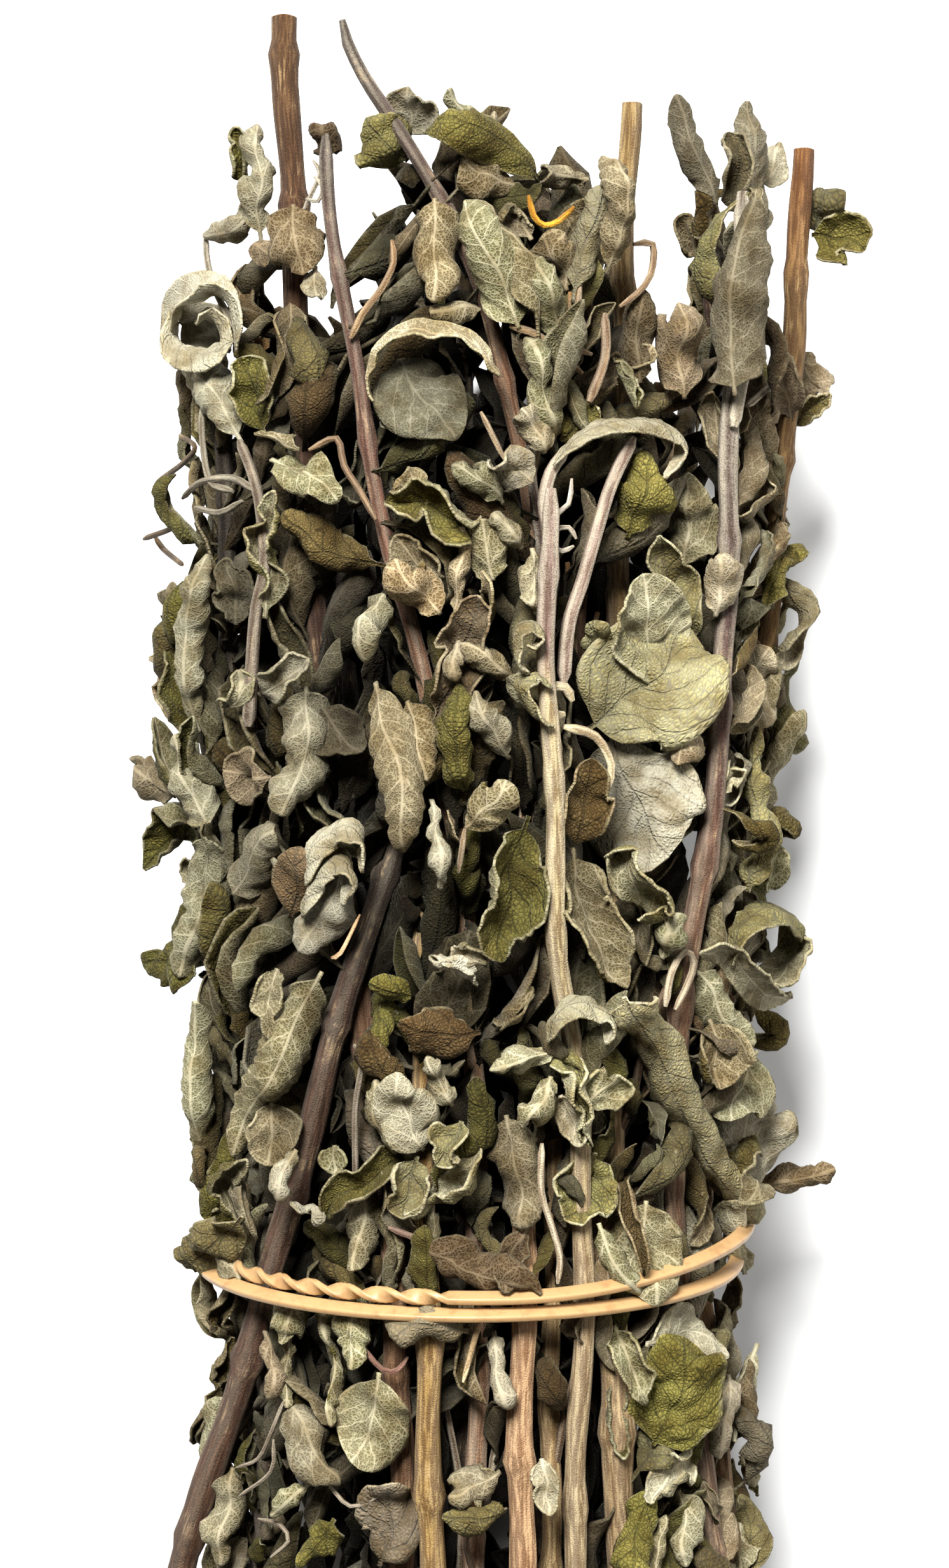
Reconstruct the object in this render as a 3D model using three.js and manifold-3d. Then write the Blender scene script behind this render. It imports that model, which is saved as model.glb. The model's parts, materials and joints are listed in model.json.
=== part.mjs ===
// A bundle of dried Greek sage: twenty-six leafy stems lying together, held by one doubled rubber band.
// Lengths are millimetres. X runs across the bundle, Y along it with the leafy tips towards +Y, and Z is up
// from the surface that the bundle lies on.
import * as THREE from "three";
import { mergeVertices } from "three/addons/utils/BufferGeometryUtils.js";
import Module from "manifold-3d";

const wasm = await Module();
wasm.setup();

// Driving dimensions.
const FOOT_Y = -150; // where the stems were cut
const TIE = { y: -37, tilt: 0.08, halfWidth: 38.8, halfDepth: 31.7 }; // the waist inside the band
const AXIS_Z = 38; // height of the bundle's middle line
const FLARE = { top: 1.22, foot: 1.08 }; // how much wider than the waist the two ends are
const SAG = 5; // how much lower the bundle's middle line is at the foot
const BAND = { strand: 1.15, spacing: 1.25, fan: 5, steps: 76 }; // strand's radius, half the pitch of its two turns
const STATION = 25; // distance along Y between the points of a stem's route
const SETTLE = { rounds: 200, apart: 1.2, inside: 0.85 }; // spare room round the hidden stems as they settle
const CLEAR = 0.35; // gap kept between neighbouring pieces
const STEM = { foot: 2.1, tip: 1.35, sides: 6 }; // radii of an ordinary stem
const LEAF = { length: 30, width: 12, thick: 1.5, cup: 0.4, bow: 0.12 }; // bow is a share of the length
const FAN = { leaves: 5, spread: 1.15, rise: [0.8, 1.3] }; // leaves in a whorl, and their angles in radians
const COLLAR = { wall: 1.6, half: 1.8 }; // the raised joint that a stem's leaves spring from

const FINISHES = {
  stemBrown: [0x6b4a3a, 0.85],
  stemPale: [0xb79a76, 0.8],
  leafGreen: [0x7c7a55, 0.95],
  leafPale: [0xa9a68f, 0.95],
  leafDark: [0x4f4837, 0.95],
  band: [0xd9a667, 0.55],
};

// A repeatable number between 0 and 1 for each pair of whole numbers.
function chance(a, b = 0) {
  const s = Math.sin(a * 127.1 + b * 311.7 + 17.3) * 43758.5453;
  return s - Math.floor(s);
}

const between = (low, high, t) => low + (high - low) * t;
const vec = (x, y, z) => new THREE.Vector3(x, y, z);

// ---- solids ----

function geometryOf(solid) {
  const mesh = solid.getMesh();
  const geometry = new THREE.BufferGeometry();
  const positions = new Float32Array(mesh.numVert * 3);
  for (let i = 0; i < mesh.numVert; i++) {
    positions.set(mesh.vertProperties.subarray(i * mesh.numProp, i * mesh.numProp + 3), i * 3);
  }
  geometry.setAttribute("position", new THREE.BufferAttribute(positions, 3));
  geometry.setIndex(new THREE.BufferAttribute(mesh.triVerts, 1));
  return geometry;
}

function solidOf(geometry) {
  const plain = geometry.clone();
  plain.deleteAttribute("normal");
  plain.deleteAttribute("uv");
  const merged = mergeVertices(plain, 1e-3);
  return new wasm.Manifold(
    new wasm.Mesh({
      numProp: 3,
      vertProperties: merged.attributes.position.array,
      triVerts: new Uint32Array(merged.index.array),
    }),
  );
}

// A closed skin over a row of rings with the same number of corners, with flat ends.
function loft(rings) {
  const sides = rings[0].length;
  const corners = rings.flat();
  const index = [];
  for (let r = 0; r + 1 < rings.length; r++) {
    for (let s = 0; s < sides; s++) {
      const a = r * sides + s;
      const b = r * sides + ((s + 1) % sides);
      index.push(a, b, b + sides, a, b + sides, a + sides);
    }
  }
  const last = (rings.length - 1) * sides;
  for (let s = 1; s + 1 < sides; s++) {
    index.push(0, s + 1, s);
    index.push(last, last + s, last + s + 1);
  }
  const geometry = new THREE.BufferGeometry().setFromPoints(corners);
  geometry.setIndex(index);
  return geometry;
}

// ---- stems ----

// Stems that show at the front of the bundle: points from the cut foot to the tip, and the two end radii.
const FRONT_STEMS = [
  {
    name: "stem_tall_cut",
    route: [
      [-10, -148, 55], [-11, -80, 58.5], [-12, -37, 62.5], [-17, 0, 57.5], [-22, 36, 56.5], [-25, 80, 59],
      [-27.3, 122, 61], [-28.4, 150, 62],
    ],
    radii: [2.0, 1.9],
  },
  {
    name: "stem_long_diagonal",
    route: [
      [6.5, -149, 60], [6.8, -78, 64.5], [7, -37, 67.3], [8.5, 0, 62], [10, 40, 62], [9.5, 64, 63], [4, 100, 68],
      [-8.6, 129, 70], [-22, 147, 70],
    ],
    radii: [2.4, 0.9],
  },
  {
    name: "stem_short_diagonal",
    route: [
      [-1, -146, 54], [0, -80, 58], [0.3, -37, 62], [-0.6, 7, 63.5], [-4.5, 40, 66], [-11, 63, 69], [-16, 88, 69],
      [-20.7, 116, 69], [-22.5, 131, 68],
    ],
    radii: [1.9, 1.0],
  },
  {
    name: "stem_straw_cut",
    route: [[23.5, -150, 55], [22.4, -79, 59], [19.8, -37, 61.5], [21, 20, 56], [21.8, 95, 55], [23.5, 138, 58]],
    radii: [2.6, 1.6],
  },
  {
    name: "stem_woolly",
    route: [
      [37, -147, 45], [35.4, -70, 49], [30.5, -37, 51.5], [30, 0, 60], [35, 28, 62], [37.4, 60, 62], [37.8, 87, 62],
      [39.2, 106, 62], [40.3, 124, 62],
    ],
    radii: [2.1, 1.5],
  },
  {
    name: "stem_right_cut",
    route: [
      [41, -149, 38], [39.5, -75, 41], [34.5, -37, 42], [40, 10, 40], [47, 78, 42], [50.3, 118, 45], [50.9, 134, 45],
    ],
    radii: [1.7, 1.7],
  },
  {
    name: "stem_silver_sprig",
    route: [
      [14, -150, 60], [14.6, -79, 63.5], [16, -40, 65.5], [15.4, -10, 68.5], [12.2, 8, 74], [11.2, 36, 77], [10.4, 56, 78],
      [9.6, 68, 79], [10.8, 78, 80],
    ],
    radii: [1.7, 1.4],
  },
  {
    name: "stem_dark_crossing",
    route: [
      [-56.6, -123, 37], [-51, -105, 40], [-44.5, -82, 44], [-37.5, -60, 48.5], [-31.6, -41, 50.5], [-26.5, -22, 56],
      [-21, -2, 63], [-16, 15, 64], [-10.5, 32, 58], [-11, 70, 51], [-13, 105, 47],
    ],
    radii: [2.4, 1.3],
  },
  {
    name: "stem_ochre",
    route: [[-5.5, -150, 60.5], [-6.5, -80, 64.5], [-7, -37, 67.4], [-8, 0, 65], [-5.5, 30, 59], [-3, 70, 54], [-1, 118, 52]],
    radii: [2.3, 1.4],
  },
  {
    name: "stem_split_pale",
    route: [[10.6, -147, 53], [11.3, -79, 57.5], [11.4, -37, 61], [14, 20, 55.5], [16, 70, 52], [17, 112, 50]],
    radii: [1.6, 1.2],
  },
];

// The other stems stand on rings in the waist: angle in degrees from +X, and share of the waist's size.
const OUTER_RING = Array.from({ length: 10 }, (_, i) => ({ angle: 163 + 20.5 * i, share: 0.86 }));
const MIDDLE_RING = Array.from({ length: 5 }, (_, i) => ({ angle: 20 + 72 * i, share: 0.45 }));
const RING_STEMS = [...OUTER_RING, ...MIDDLE_RING, { angle: 250, share: 0.06 }];
const STATIONS = [-6, 5]; // of their feet and tips, counted from y = 0

// The bundle's section at a height along it: its middle's z, and its half width and half depth.
function section(y) {
  const up = Math.min(1, (y - TIE.y) / 110);
  const down = (TIE.y - y) / (TIE.y - FOOT_Y);
  const flare = y > TIE.y ? between(1, FLARE.top, up) : between(1, FLARE.foot, down);
  const middle = AXIS_Z - (y > TIE.y ? 0 : SAG * down);
  return { middle, width: TIE.halfWidth * flare, depth: TIE.halfDepth * flare };
}

function ringStem({ angle, share }, i) {
  const turn = THREE.MathUtils.degToRad(angle);
  const route = [];
  for (let k = STATIONS[0]; k <= STATIONS[1]; k++) {
    const { middle, width, depth } = section(k * STATION);
    const wander = 2 * Math.sin(0.9 * k + 2 * Math.PI * chance(i, 3));
    const x = share * width * Math.cos(turn) + wander * Math.sin(turn) * (1 - share / 2);
    const z = middle + share * depth * Math.sin(turn) + 0.4 * wander * Math.cos(turn);
    route.push([x, k * STATION, z]);
  }
  return {
    name: `stem_${String(i + FRONT_STEMS.length + 1).padStart(2, "0")}`,
    route,
    radii: [STEM.foot - 0.4 * chance(i, 1), STEM.tip],
    span: [FOOT_Y + 5 * chance(i, 5), between(94, 124, chance(i, 2))],
    hidden: true,
  };
}

// Where a route crosses the plane of a given y, or null beyond its ends.
function crossing({ route }, y) {
  const i = route.findIndex((p, n) => n > 0 && y <= p[1] + 1e-6);
  if (i < 1 || y < route[0][1] - 1e-6) return null;
  const [a, b] = [route[i - 1], route[i]];
  const t = (y - a[1]) / (b[1] - a[1]);
  return [between(a[0], b[0], t), between(a[2], b[2], t)];
}

// Pushes the hidden stems apart, plane by plane, until each clears its neighbours and lies inside the band.
function settle(stems) {
  const room = 2 * STEM.foot + SETTLE.apart;
  const wall = STEM.foot + SETTLE.inside;
  for (let round = 0; round < SETTLE.rounds; round++) {
    for (const stem of stems.filter((s) => s.hidden)) {
      for (const point of stem.route) {
        for (const other of stems) {
          const there = other === stem ? null : crossing(other, point[1]);
          if (!there) continue;
          const away = [point[0] - there[0], point[2] - there[1]];
          const gap = Math.hypot(...away);
          if (gap >= room) continue;
          const push = (0.5 * (room - gap)) / Math.max(gap, 0.01);
          point[0] += away[0] * push;
          point[2] += away[1] * push;
        }
        const { middle, width, depth } = section(point[1]);
        const size = Math.hypot(point[0] / (width - wall), (point[2] - middle) / (depth - wall));
        if (size > 1) {
          point[0] /= size;
          point[2] = middle + (point[2] - middle) / size;
        }
      }
    }
  }
}

// A stem's middle line, with its radius at each point.
function stemLine({ route, radii, span = [-Infinity, Infinity], hidden }) {
  const curve = new THREE.CatmullRomCurve3(route.map((p) => vec(...p)), false, "centripetal");
  const dense = curve.getSpacedPoints(240).filter((p) => p.y >= span[0] && p.y <= span[1]);
  const steps = hidden ? 8 : 13;
  return Array.from({ length: steps + 1 }, (_, i) => ({
    at: dense[Math.round((i / steps) * (dense.length - 1))],
    radius: between(...radii, i / steps),
  }));
}

// A many-sided rod along a line, made thicker and longer by grow.
function rod(line, grow = 0) {
  const rings = line.map(({ at, radius }, i) => {
    const before = line[Math.max(0, i - 1)].at;
    const after = line[Math.min(line.length - 1, i + 1)].at;
    const along = after.clone().sub(before).normalize();
    const across = along.clone().cross(vec(0, 0, 1)).normalize();
    const up = across.clone().cross(along);
    const end = i === 0 ? -grow : i === line.length - 1 ? grow : 0;
    return Array.from({ length: STEM.sides }, (_, s) => {
      const turn = (2 * Math.PI * (s + 0.5)) / STEM.sides;
      return at
        .clone()
        .addScaledVector(along, end)
        .addScaledVector(across, (radius + grow) * Math.cos(turn))
        .addScaledVector(up, -(radius + grow) * Math.sin(turn));
    });
  });
  return loft(rings);
}

// ---- rubber band ----

// One closed strand that goes round the waist twice: the turns lie side by side and cross underneath.
class BandRoute extends THREE.Curve {
  getPoint(t, target = vec(0, 0, 0)) {
    const turn = 4 * Math.PI * t;
    const half = (turn + Math.PI / 2) / 2;
    const beside = Math.sin(half); // the upper turn is positive, the lower one negative
    const fan = BAND.fan * Math.max(0, Math.cos(turn + 0.1)) ** 2 * Math.max(0, beside);
    const out = BAND.strand + 2 * CLEAR + BAND.spacing * (1 + Math.cos(half));
    const x = (TIE.halfWidth + out) * Math.cos(turn);
    const z = (TIE.halfDepth + out) * Math.sin(turn);
    return target.set(x, TIE.y - TIE.tilt * z + BAND.spacing * beside + fan, AXIS_Z + z);
  }
}

const bandSkin = (radius) => new THREE.TubeGeometry(new BandRoute(), BAND.steps, radius, 6, true);

// ---- leaves ----

// One leaf as a closed solid with rings from its stalk to its tip: a shallow cup, or a spindle when rolled up.
function leafSolid({ from, to, out, width, rolled = false, tilt = 0 }, grow) {
  const length = from.distanceTo(to);
  const along = to.clone().sub(from).normalize();
  const face = out.clone().addScaledVector(along, -out.dot(along)).normalize().applyAxisAngle(along, tilt);
  const side = along.clone().cross(face);
  const shares = [0, 0.28, 0.74, 1];
  const widths = rolled ? [0.3, 0.56, 0.5, 0.14] : [0.16, 0.9, 0.8, 0.12];
  const rings = shares.map((share, i) => {
    const reach = length * share + [-grow, 0, 0, grow][i];
    const bow = LEAF.bow * length * 4 * share * (1 - share);
    const half = (width / 2) * widths[i];
    const thick = (rolled ? half * 0.85 : LEAF.thick / 2) + grow;
    const corner = (a, b) =>
      from.clone().addScaledVector(along, reach).addScaledVector(side, a).addScaledVector(face, b + bow);
    return [corner(-half - grow, -LEAF.cup), corner(0, thick), corner(half + grow, -LEAF.cup), corner(0, -thick)];
  });
  return solidOf(loft(rings));
}

// The point of a line at a given y, with the line's direction and radius there.
function pointOn(line, y) {
  const i = Math.max(1, line.findIndex((p) => p.at.y >= y));
  const [low, high] = [line[i - 1], line[i]];
  const t = (y - low.at.y) / (high.at.y - low.at.y);
  return {
    at: low.at.clone().lerp(high.at, t),
    along: high.at.clone().sub(low.at).normalize(),
    radius: between(low.radius, high.radius, t),
  };
}

// The way out of the bundle at a point.
function outwardAt(p) {
  const { middle, width, depth } = section(p.y);
  return vec(p.x / width ** 2, 0, (p.z - middle) / depth ** 2).normalize();
}

// Leaves that fan out of a stem's joint where nothing more exact is wanted.
function fannedLeaves({ at, along }, seed) {
  const outward = outwardAt(at);
  const sideways = along.clone().cross(outward).normalize();
  return Array.from({ length: FAN.leaves }, (_, k) => {
    const swing = FAN.spread * (k / (FAN.leaves - 1) - 0.5) * 2 + 0.35 * (chance(seed, k) - 0.5);
    const rise = (k % 3 === 2 ? -1 : 1) * between(...FAN.rise, chance(seed, k + 20));
    const length = LEAF.length * between(0.6, 1.05, chance(seed, k + 60));
    const away = outward.clone().multiplyScalar(Math.cos(swing)).addScaledVector(sideways, Math.sin(swing));
    const to = at
      .clone()
      .addScaledVector(away, length * Math.cos(rise))
      .addScaledVector(along, length * Math.sin(rise));
    to.z = Math.max(to.z, LEAF.thick / 2); // pressed flat by the bundle's weight
    return {
      to,
      width: LEAF.width * between(0.7, 1.25, chance(seed, k + 80)),
      rolled: chance(seed, k + 120) < 0.4,
      tilt: 1.1 * (chance(seed, k + 40) - 0.5),
    };
  });
}

// The leaves of one joint and the collar that joins their stalks round the stem, as one solid.
function whorl(lines, plan, seed, grow = 0) {
  const spot = pointOn(lines[plan.stem], plan.y);
  const ends = [-1, 1].map((s) => ({
    at: spot.at.clone().addScaledVector(spot.along, COLLAR.half * s),
    radius: spot.radius + COLLAR.wall,
  }));
  const leaves = plan.leaves
    ? plan.leaves.map(([to, width, rolled, tilt]) => ({ to: vec(...to), width, rolled, tilt }))
    : fannedLeaves(spot, seed);
  return leaves.reduce((solid, leaf) => {
    const way = leaf.to.clone().sub(spot.at).normalize();
    const from = spot.at.clone().addScaledVector(way, spot.radius * 0.5);
    return solid.add(leafSolid({ ...leaf, from, out: outwardAt(spot.at) }, grow));
  }, solidOf(rod(ends, grow)));
}

// Whorls at the sides and below: a stem of the outer ring, and the height along it.
const SIDE_WHORLS = [[0, -62], [0, 40], [1, 74], [2, 6], [3, 92], [4, 34], [6, 84], [7, 14], [9, -66]];

// Where leaves spring from: stem, height along it, and for the foremost leaves [tip, width, rolled, tilt] each.
const WHORLS = [
  {
    name: "leaves_broad_front",
    stem: "stem_silver_sprig",
    y: 66,
    leaves: [
      [[27, 46, 75], 17, false, 0.15],
      [[29.5, 82, 81], 8, true, 0],
      [[20, 89, 80], 9, true, 0],
      [[-2, 60, 78], 10, false, -0.3],
    ],
  },
  {
    name: "leaves_silver_front",
    stem: "stem_silver_sprig",
    y: 38,
    leaves: [
      [[31, 25, 75], 15, false, 0.2],
      [[-6, 30, 76], 10, true, 0],
      [[0, 52, 76], 11, false, -0.2],
      [[13, 60, 84], 8, true, 0],
    ],
  },
  {
    name: "leaves_hooked_front",
    stem: "stem_silver_sprig",
    y: 10,
    leaves: [
      [[28, 16, 73], 10, true, 0],
      [[21, -14, 74], 10, true, 0],
      [[-3, -6, 75], 10, false, 0.2],
      [[3, 24, 76], 9, true, 0],
    ],
  },
  {
    name: "leaves_long_roll",
    stem: "stem_straw_cut",
    y: 4,
    leaves: [
      [[42, -28, 60], 11, true, 0],
      [[36, 20, 70], 12, false, 0.3],
      [[10, -16, 68], 10, true, 0],
    ],
  },
  {
    name: "leaves_over_band_right",
    stem: "stem_silver_sprig",
    y: -24,
    leaves: [
      [[28, -44, 76], 11, false, 0.2],
      [[27, 2, 74], 9, true, 0],
      [[3, -4, 77], 9, false, -0.2],
    ],
  },
  {
    name: "leaves_ring_curl",
    stem: "stem_woolly",
    y: 20,
    leaves: [
      [[47, 5, 62], 11, false, 0.5],
      [[52, 36, 56], 11, true, 0],
      [[44, 48, 68], 11, false, 0.2],
      [[30, -4, 69], 10, true, 0],
    ],
  },
  {
    name: "leaves_woolly_side",
    stem: "stem_woolly",
    y: -8,
    leaves: [
      [[44, -27, 53], 10, true, 0],
      [[50, 12, 50], 11, false, 0.3],
      [[26, 14, 69], 9, true, 0],
    ],
  },
  {
    name: "leaves_rosette",
    stem: "stem_ochre",
    y: -14,
    leaves: [
      [[-18, -27, 70], 10, false, 0.3],
      [[1, -29, 73], 9, false, -0.3],
      [[-17, 4, 72], 12, false, 0.2],
      [[1, 3, 74], 9, true, 0],
      [[-9, 12, 74], 9, false, 0],
    ],
  },
  {
    name: "leaves_over_band_middle",
    stem: "stem_long_diagonal",
    y: -24,
    leaves: [
      [[-4, -39, 79], 8, true, 0],
      [[11, -43, 79], 9, false, 0.2],
      [[12, 2, 72], 9, true, 0],
    ],
  },
  {
    name: "leaves_below_band_left",
    stem: "stem_tall_cut",
    y: -52,
    leaves: [
      [[-23, -66, 62], 8, true, 0],
      [[-1, -49, 72], 8, true, 0],
      [[-27, -48, 64], 9, false, 0.2],
    ],
  },
  {
    name: "leaves_below_band_right",
    stem: "stem_woolly",
    y: -52,
    leaves: [
      [[24, -63, 66], 13, false, -0.2],
      [[41, -60, 52], 9, false, 0.4],
      [[43, -76, 44], 8, true, 0],
    ],
  },
  {
    name: "leaves_heart_shaped",
    stem: "stem_short_diagonal",
    y: 96,
    leaves: [
      [[-3, 86, 77], 12, false, 0],
      [[-35, 92, 74], 10, true, 0],
      [[-31, 72, 74], 11, false, 0.2],
      [[-13, 121, 76], 9, true, 0],
    ],
  },
  {
    name: "leaves_arched_dry",
    stem: "stem_long_diagonal",
    y: 96,
    leaves: [
      [[15, 117, 70], 11, false, 0.2],
      [[-2, 122, 76], 9, true, 0],
      [[18, 99, 76], 10, false, 0],
      [[1, 72, 77], 10, true, 0],
    ],
  },
  {
    name: "leaves_tall_rolled",
    stem: "stem_tall_cut",
    y: 104,
    leaves: [
      [[-36, 134, 64], 9, true, 0],
      [[-44, 112, 54], 11, false, -0.3],
      [[-41, 80, 62], 12, false, -0.2],
      [[-15, 84, 72], 9, true, 0],
    ],
  },
  {
    name: "leaves_spikes",
    stem: "stem_straw_cut",
    y: 98,
    leaves: [
      [[34, 132, 64], 9, true, 0],
      [[11, 116, 70], 10, false, 0.2],
      [[29, 78, 74], 11, false, 0.2],
      [[12, 84, 66], 9, true, 0],
    ],
  },
  {
    name: "leaves_woolly_tip",
    stem: "stem_woolly",
    y: 103,
    leaves: [
      [[44, 137, 65], 9, true, 0],
      [[34, 124, 72], 8, true, 0],
      [[52, 92, 62], 11, false, 0.3],
      [[29, 88, 74], 10, false, -0.2],
    ],
  },
  { name: "leaves_tall_middle", stem: "stem_tall_cut", y: 66 },
  { name: "leaves_tall_lower", stem: "stem_tall_cut", y: 22 },
  { name: "leaves_woolly_middle", stem: "stem_woolly", y: 66 },
  { name: "leaves_short_middle", stem: "stem_short_diagonal", y: 52 },
  { name: "leaves_short_lower", stem: "stem_short_diagonal", y: 18 },
  {
    name: "leaves_right_tip",
    stem: "stem_right_cut",
    y: 108,
    leaves: [
      [[56, 122, 48], 8, true, 0],
      [[57, 84, 50], 11, false, 0.2],
      [[44, 130, 52], 8, true, 0],
      [[55, 96, 34], 11, false, 0],
    ],
  },
  { name: "leaves_right_middle", stem: "stem_right_cut", y: 62, count: 6 },
  { name: "leaves_right_lower", stem: "stem_right_cut", y: 2 },
  ...SIDE_WHORLS.map(([ring, y], i) => ({
    name: `leaves_${String(i + 1).padStart(2, "0")}`,
    stem: `stem_${String(ring + FRONT_STEMS.length + 1).padStart(2, "0")}`,
    y,
  })),
];
// ---- the bundle ----

const stems = [...FRONT_STEMS, ...RING_STEMS.map(ringStem)];
settle(stems);
const lines = Object.fromEntries(stems.map((stem) => [stem.name, stemLine(stem)]));

const bundle = new THREE.Group();

function addNode(name, geometry, finish) {
  const [color, roughness] = FINISHES[finish];
  const mesh = new THREE.Mesh(geometry, new THREE.MeshStandardMaterial({ color, roughness, metalness: 0 }));
  mesh.name = name;
  mesh.geometry.computeVertexNormals();
  bundle.add(mesh);
}

stems.forEach(({ name }, i) => addNode(name, rod(lines[name]), i % 3 ? "stemBrown" : "stemPale"));
addNode("rubber_band", bandSkin(BAND.strand), "band");

// Each whorl is cut back from the stems, the band, the whorls before it and the surface below.
const taken = [
  ...stems.map(({ name }) => solidOf(rod(lines[name], CLEAR))),
  solidOf(bandSkin(BAND.strand + CLEAR)),
  solidOf(new THREE.BoxGeometry(400, 500, 60).translate(0, 0, -30)),
];
WHORLS.forEach((plan, i) => {
  const left = taken.reduce((solid, other) => solid.subtract(other), whorl(lines, plan, i));
  const pieces = left.simplify(0.08).decompose();
  const main = pieces.reduce((most, piece) => (piece.volume() > most.volume() ? piece : most));
  taken.push(whorl(lines, plan, i, 1.5 * CLEAR));
  addNode(plan.name, geometryOf(main), ["leafGreen", "leafPale", "leafDark"][i % 3]);
});

// The origin is on that surface, under the middle of the whole bundle.
const middle = new THREE.Box3().setFromObject(bundle).getCenter(vec(0, 0, 0));
bundle.position.set(-middle.x, -middle.y, 0);

export default bundle;
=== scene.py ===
# A bundle of dried Greek sage, lying down and seen from straight above.
import json
import math
import random

import bpy
import numpy as np
from mathutils import Matrix, Vector
from mathutils.bvhtree import BVHTree

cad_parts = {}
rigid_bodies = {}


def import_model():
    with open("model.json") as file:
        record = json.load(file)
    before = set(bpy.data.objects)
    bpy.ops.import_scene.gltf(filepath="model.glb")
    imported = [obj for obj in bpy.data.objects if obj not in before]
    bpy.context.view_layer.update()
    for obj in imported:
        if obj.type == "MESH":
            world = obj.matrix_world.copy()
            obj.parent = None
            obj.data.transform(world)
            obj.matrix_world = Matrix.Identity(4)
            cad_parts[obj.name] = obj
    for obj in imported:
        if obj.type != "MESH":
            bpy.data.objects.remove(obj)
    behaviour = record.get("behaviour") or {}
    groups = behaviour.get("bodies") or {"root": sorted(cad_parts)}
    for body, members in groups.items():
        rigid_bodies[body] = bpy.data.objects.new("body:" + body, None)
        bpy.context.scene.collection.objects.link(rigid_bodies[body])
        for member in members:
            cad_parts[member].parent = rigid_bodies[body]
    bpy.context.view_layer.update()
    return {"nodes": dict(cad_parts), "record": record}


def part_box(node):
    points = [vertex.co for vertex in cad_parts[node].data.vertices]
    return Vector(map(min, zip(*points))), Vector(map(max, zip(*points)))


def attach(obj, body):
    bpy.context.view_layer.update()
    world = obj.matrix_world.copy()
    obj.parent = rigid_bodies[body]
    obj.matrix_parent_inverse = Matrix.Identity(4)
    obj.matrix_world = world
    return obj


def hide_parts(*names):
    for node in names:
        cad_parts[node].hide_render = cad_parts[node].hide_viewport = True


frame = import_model()
scene = bpy.context.scene
mm = 0.001
stemNodes = sorted(n for n in frame["nodes"] if n.startswith("stem_"))
whorlNodes = sorted(n for n in frame["nodes"] if n.startswith("leaves_"))
slotOf = {part["node"]: part["material_slot"] for part in frame["record"]["subparts"]}
print("frame:", len(stemNodes), "stems,", len(whorlNodes), "whorls")

# lengths are in mm throughout; tall is how much the camera sees of the level plane at the height middle
view = {"x": 0.0, "y": 36.0, "above": 450.0, "middle": 38.0, "tall": 246.4, "sensor": 36.0}
lamps = {
    "key": {"place": (-130, 490, 760), "aim": (0, 30, 40), "size": 0.3, "watts": 22.0},
    "side": {"place": (500, 60, 460), "aim": (0, 20, 40), "size": 0.5, "watts": 1.6},
}
room = {"sky": 0.09, "floorSize": 6.0, "floorColour": (0.93, 0.93, 0.92, 1), "floorRoughness": 0.9}


def makeCamera():
    data = bpy.data.cameras.new("camera")
    data.sensor_width = view["sensor"]
    data.lens = view["sensor"] * view["above"] / view["tall"]
    data.clip_start = 0.01
    camera = bpy.data.objects.new("camera", data)
    camera.location = Vector((view["x"], view["y"], view["middle"] + view["above"])) * mm
    scene.collection.objects.link(camera)
    scene.camera = camera


def makeLight():
    for name, lamp in lamps.items():
        data = bpy.data.lights.new(name, "AREA")
        data.shape = "DISK"
        data.size = lamp["size"]
        data.energy = lamp["watts"]
        thing = bpy.data.objects.new(name, data)
        thing.location = Vector(lamp["place"]) * mm
        aim = Vector(lamp["aim"]) * mm - thing.location
        thing.rotation_euler = aim.to_track_quat("-Z", "Y").to_euler()
        scene.collection.objects.link(thing)
    world = bpy.data.worlds.new("sky")
    world.use_nodes = True
    background = world.node_tree.nodes["Background"]
    background.inputs["Color"].default_value = (1, 1, 1, 1)
    background.inputs["Strength"].default_value = room["sky"]
    scene.world = world
    scene.view_settings.view_transform = "Standard"


def makeFloor():
    bpy.ops.mesh.primitive_plane_add(size=room["floorSize"])
    floor = bpy.context.active_object
    floor.name = "floor"
    material = bpy.data.materials.new("floor")
    material.use_nodes = True
    shader = material.node_tree.nodes["Principled BSDF"]
    shader.inputs["Base Color"].default_value = room["floorColour"]
    shader.inputs["Roughness"].default_value = room["floorRoughness"]
    floor.data.materials.append(material)


makeCamera()
makeLight()
makeFloor()
print("camera, light and floor made")


def between(low, high, t):
    return low + (high - low) * t


def srgb(red, green, blue):
    # a colour as it is seen, 0 to 255, as the linear colour that the shader takes
    return tuple(((c / 255 + 0.055) / 1.055) ** 2.4 for c in (red, green, blue)) + (1.0,)


def setValues(mesh, name, values, kind="FLOAT", domain="POINT"):
    # stores a value for each point or face under a name that the nodes read
    numbers = {"INT": np.int32, "BOOLEAN": bool}.get(kind, np.float32)
    field = {"FLOAT_VECTOR": "vector", "FLOAT_COLOR": "color"}.get(kind, "value")
    flat = np.asarray(values, dtype=numbers).ravel()
    mesh.attributes.new(name, kind, domain).data.foreach_set(field, flat)


def addPiece(name, mesh, replaced):
    piece = bpy.data.objects.new(name, mesh)
    scene.collection.objects.link(piece)
    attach(piece, "root")
    if replaced:
        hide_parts(*replaced)


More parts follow.
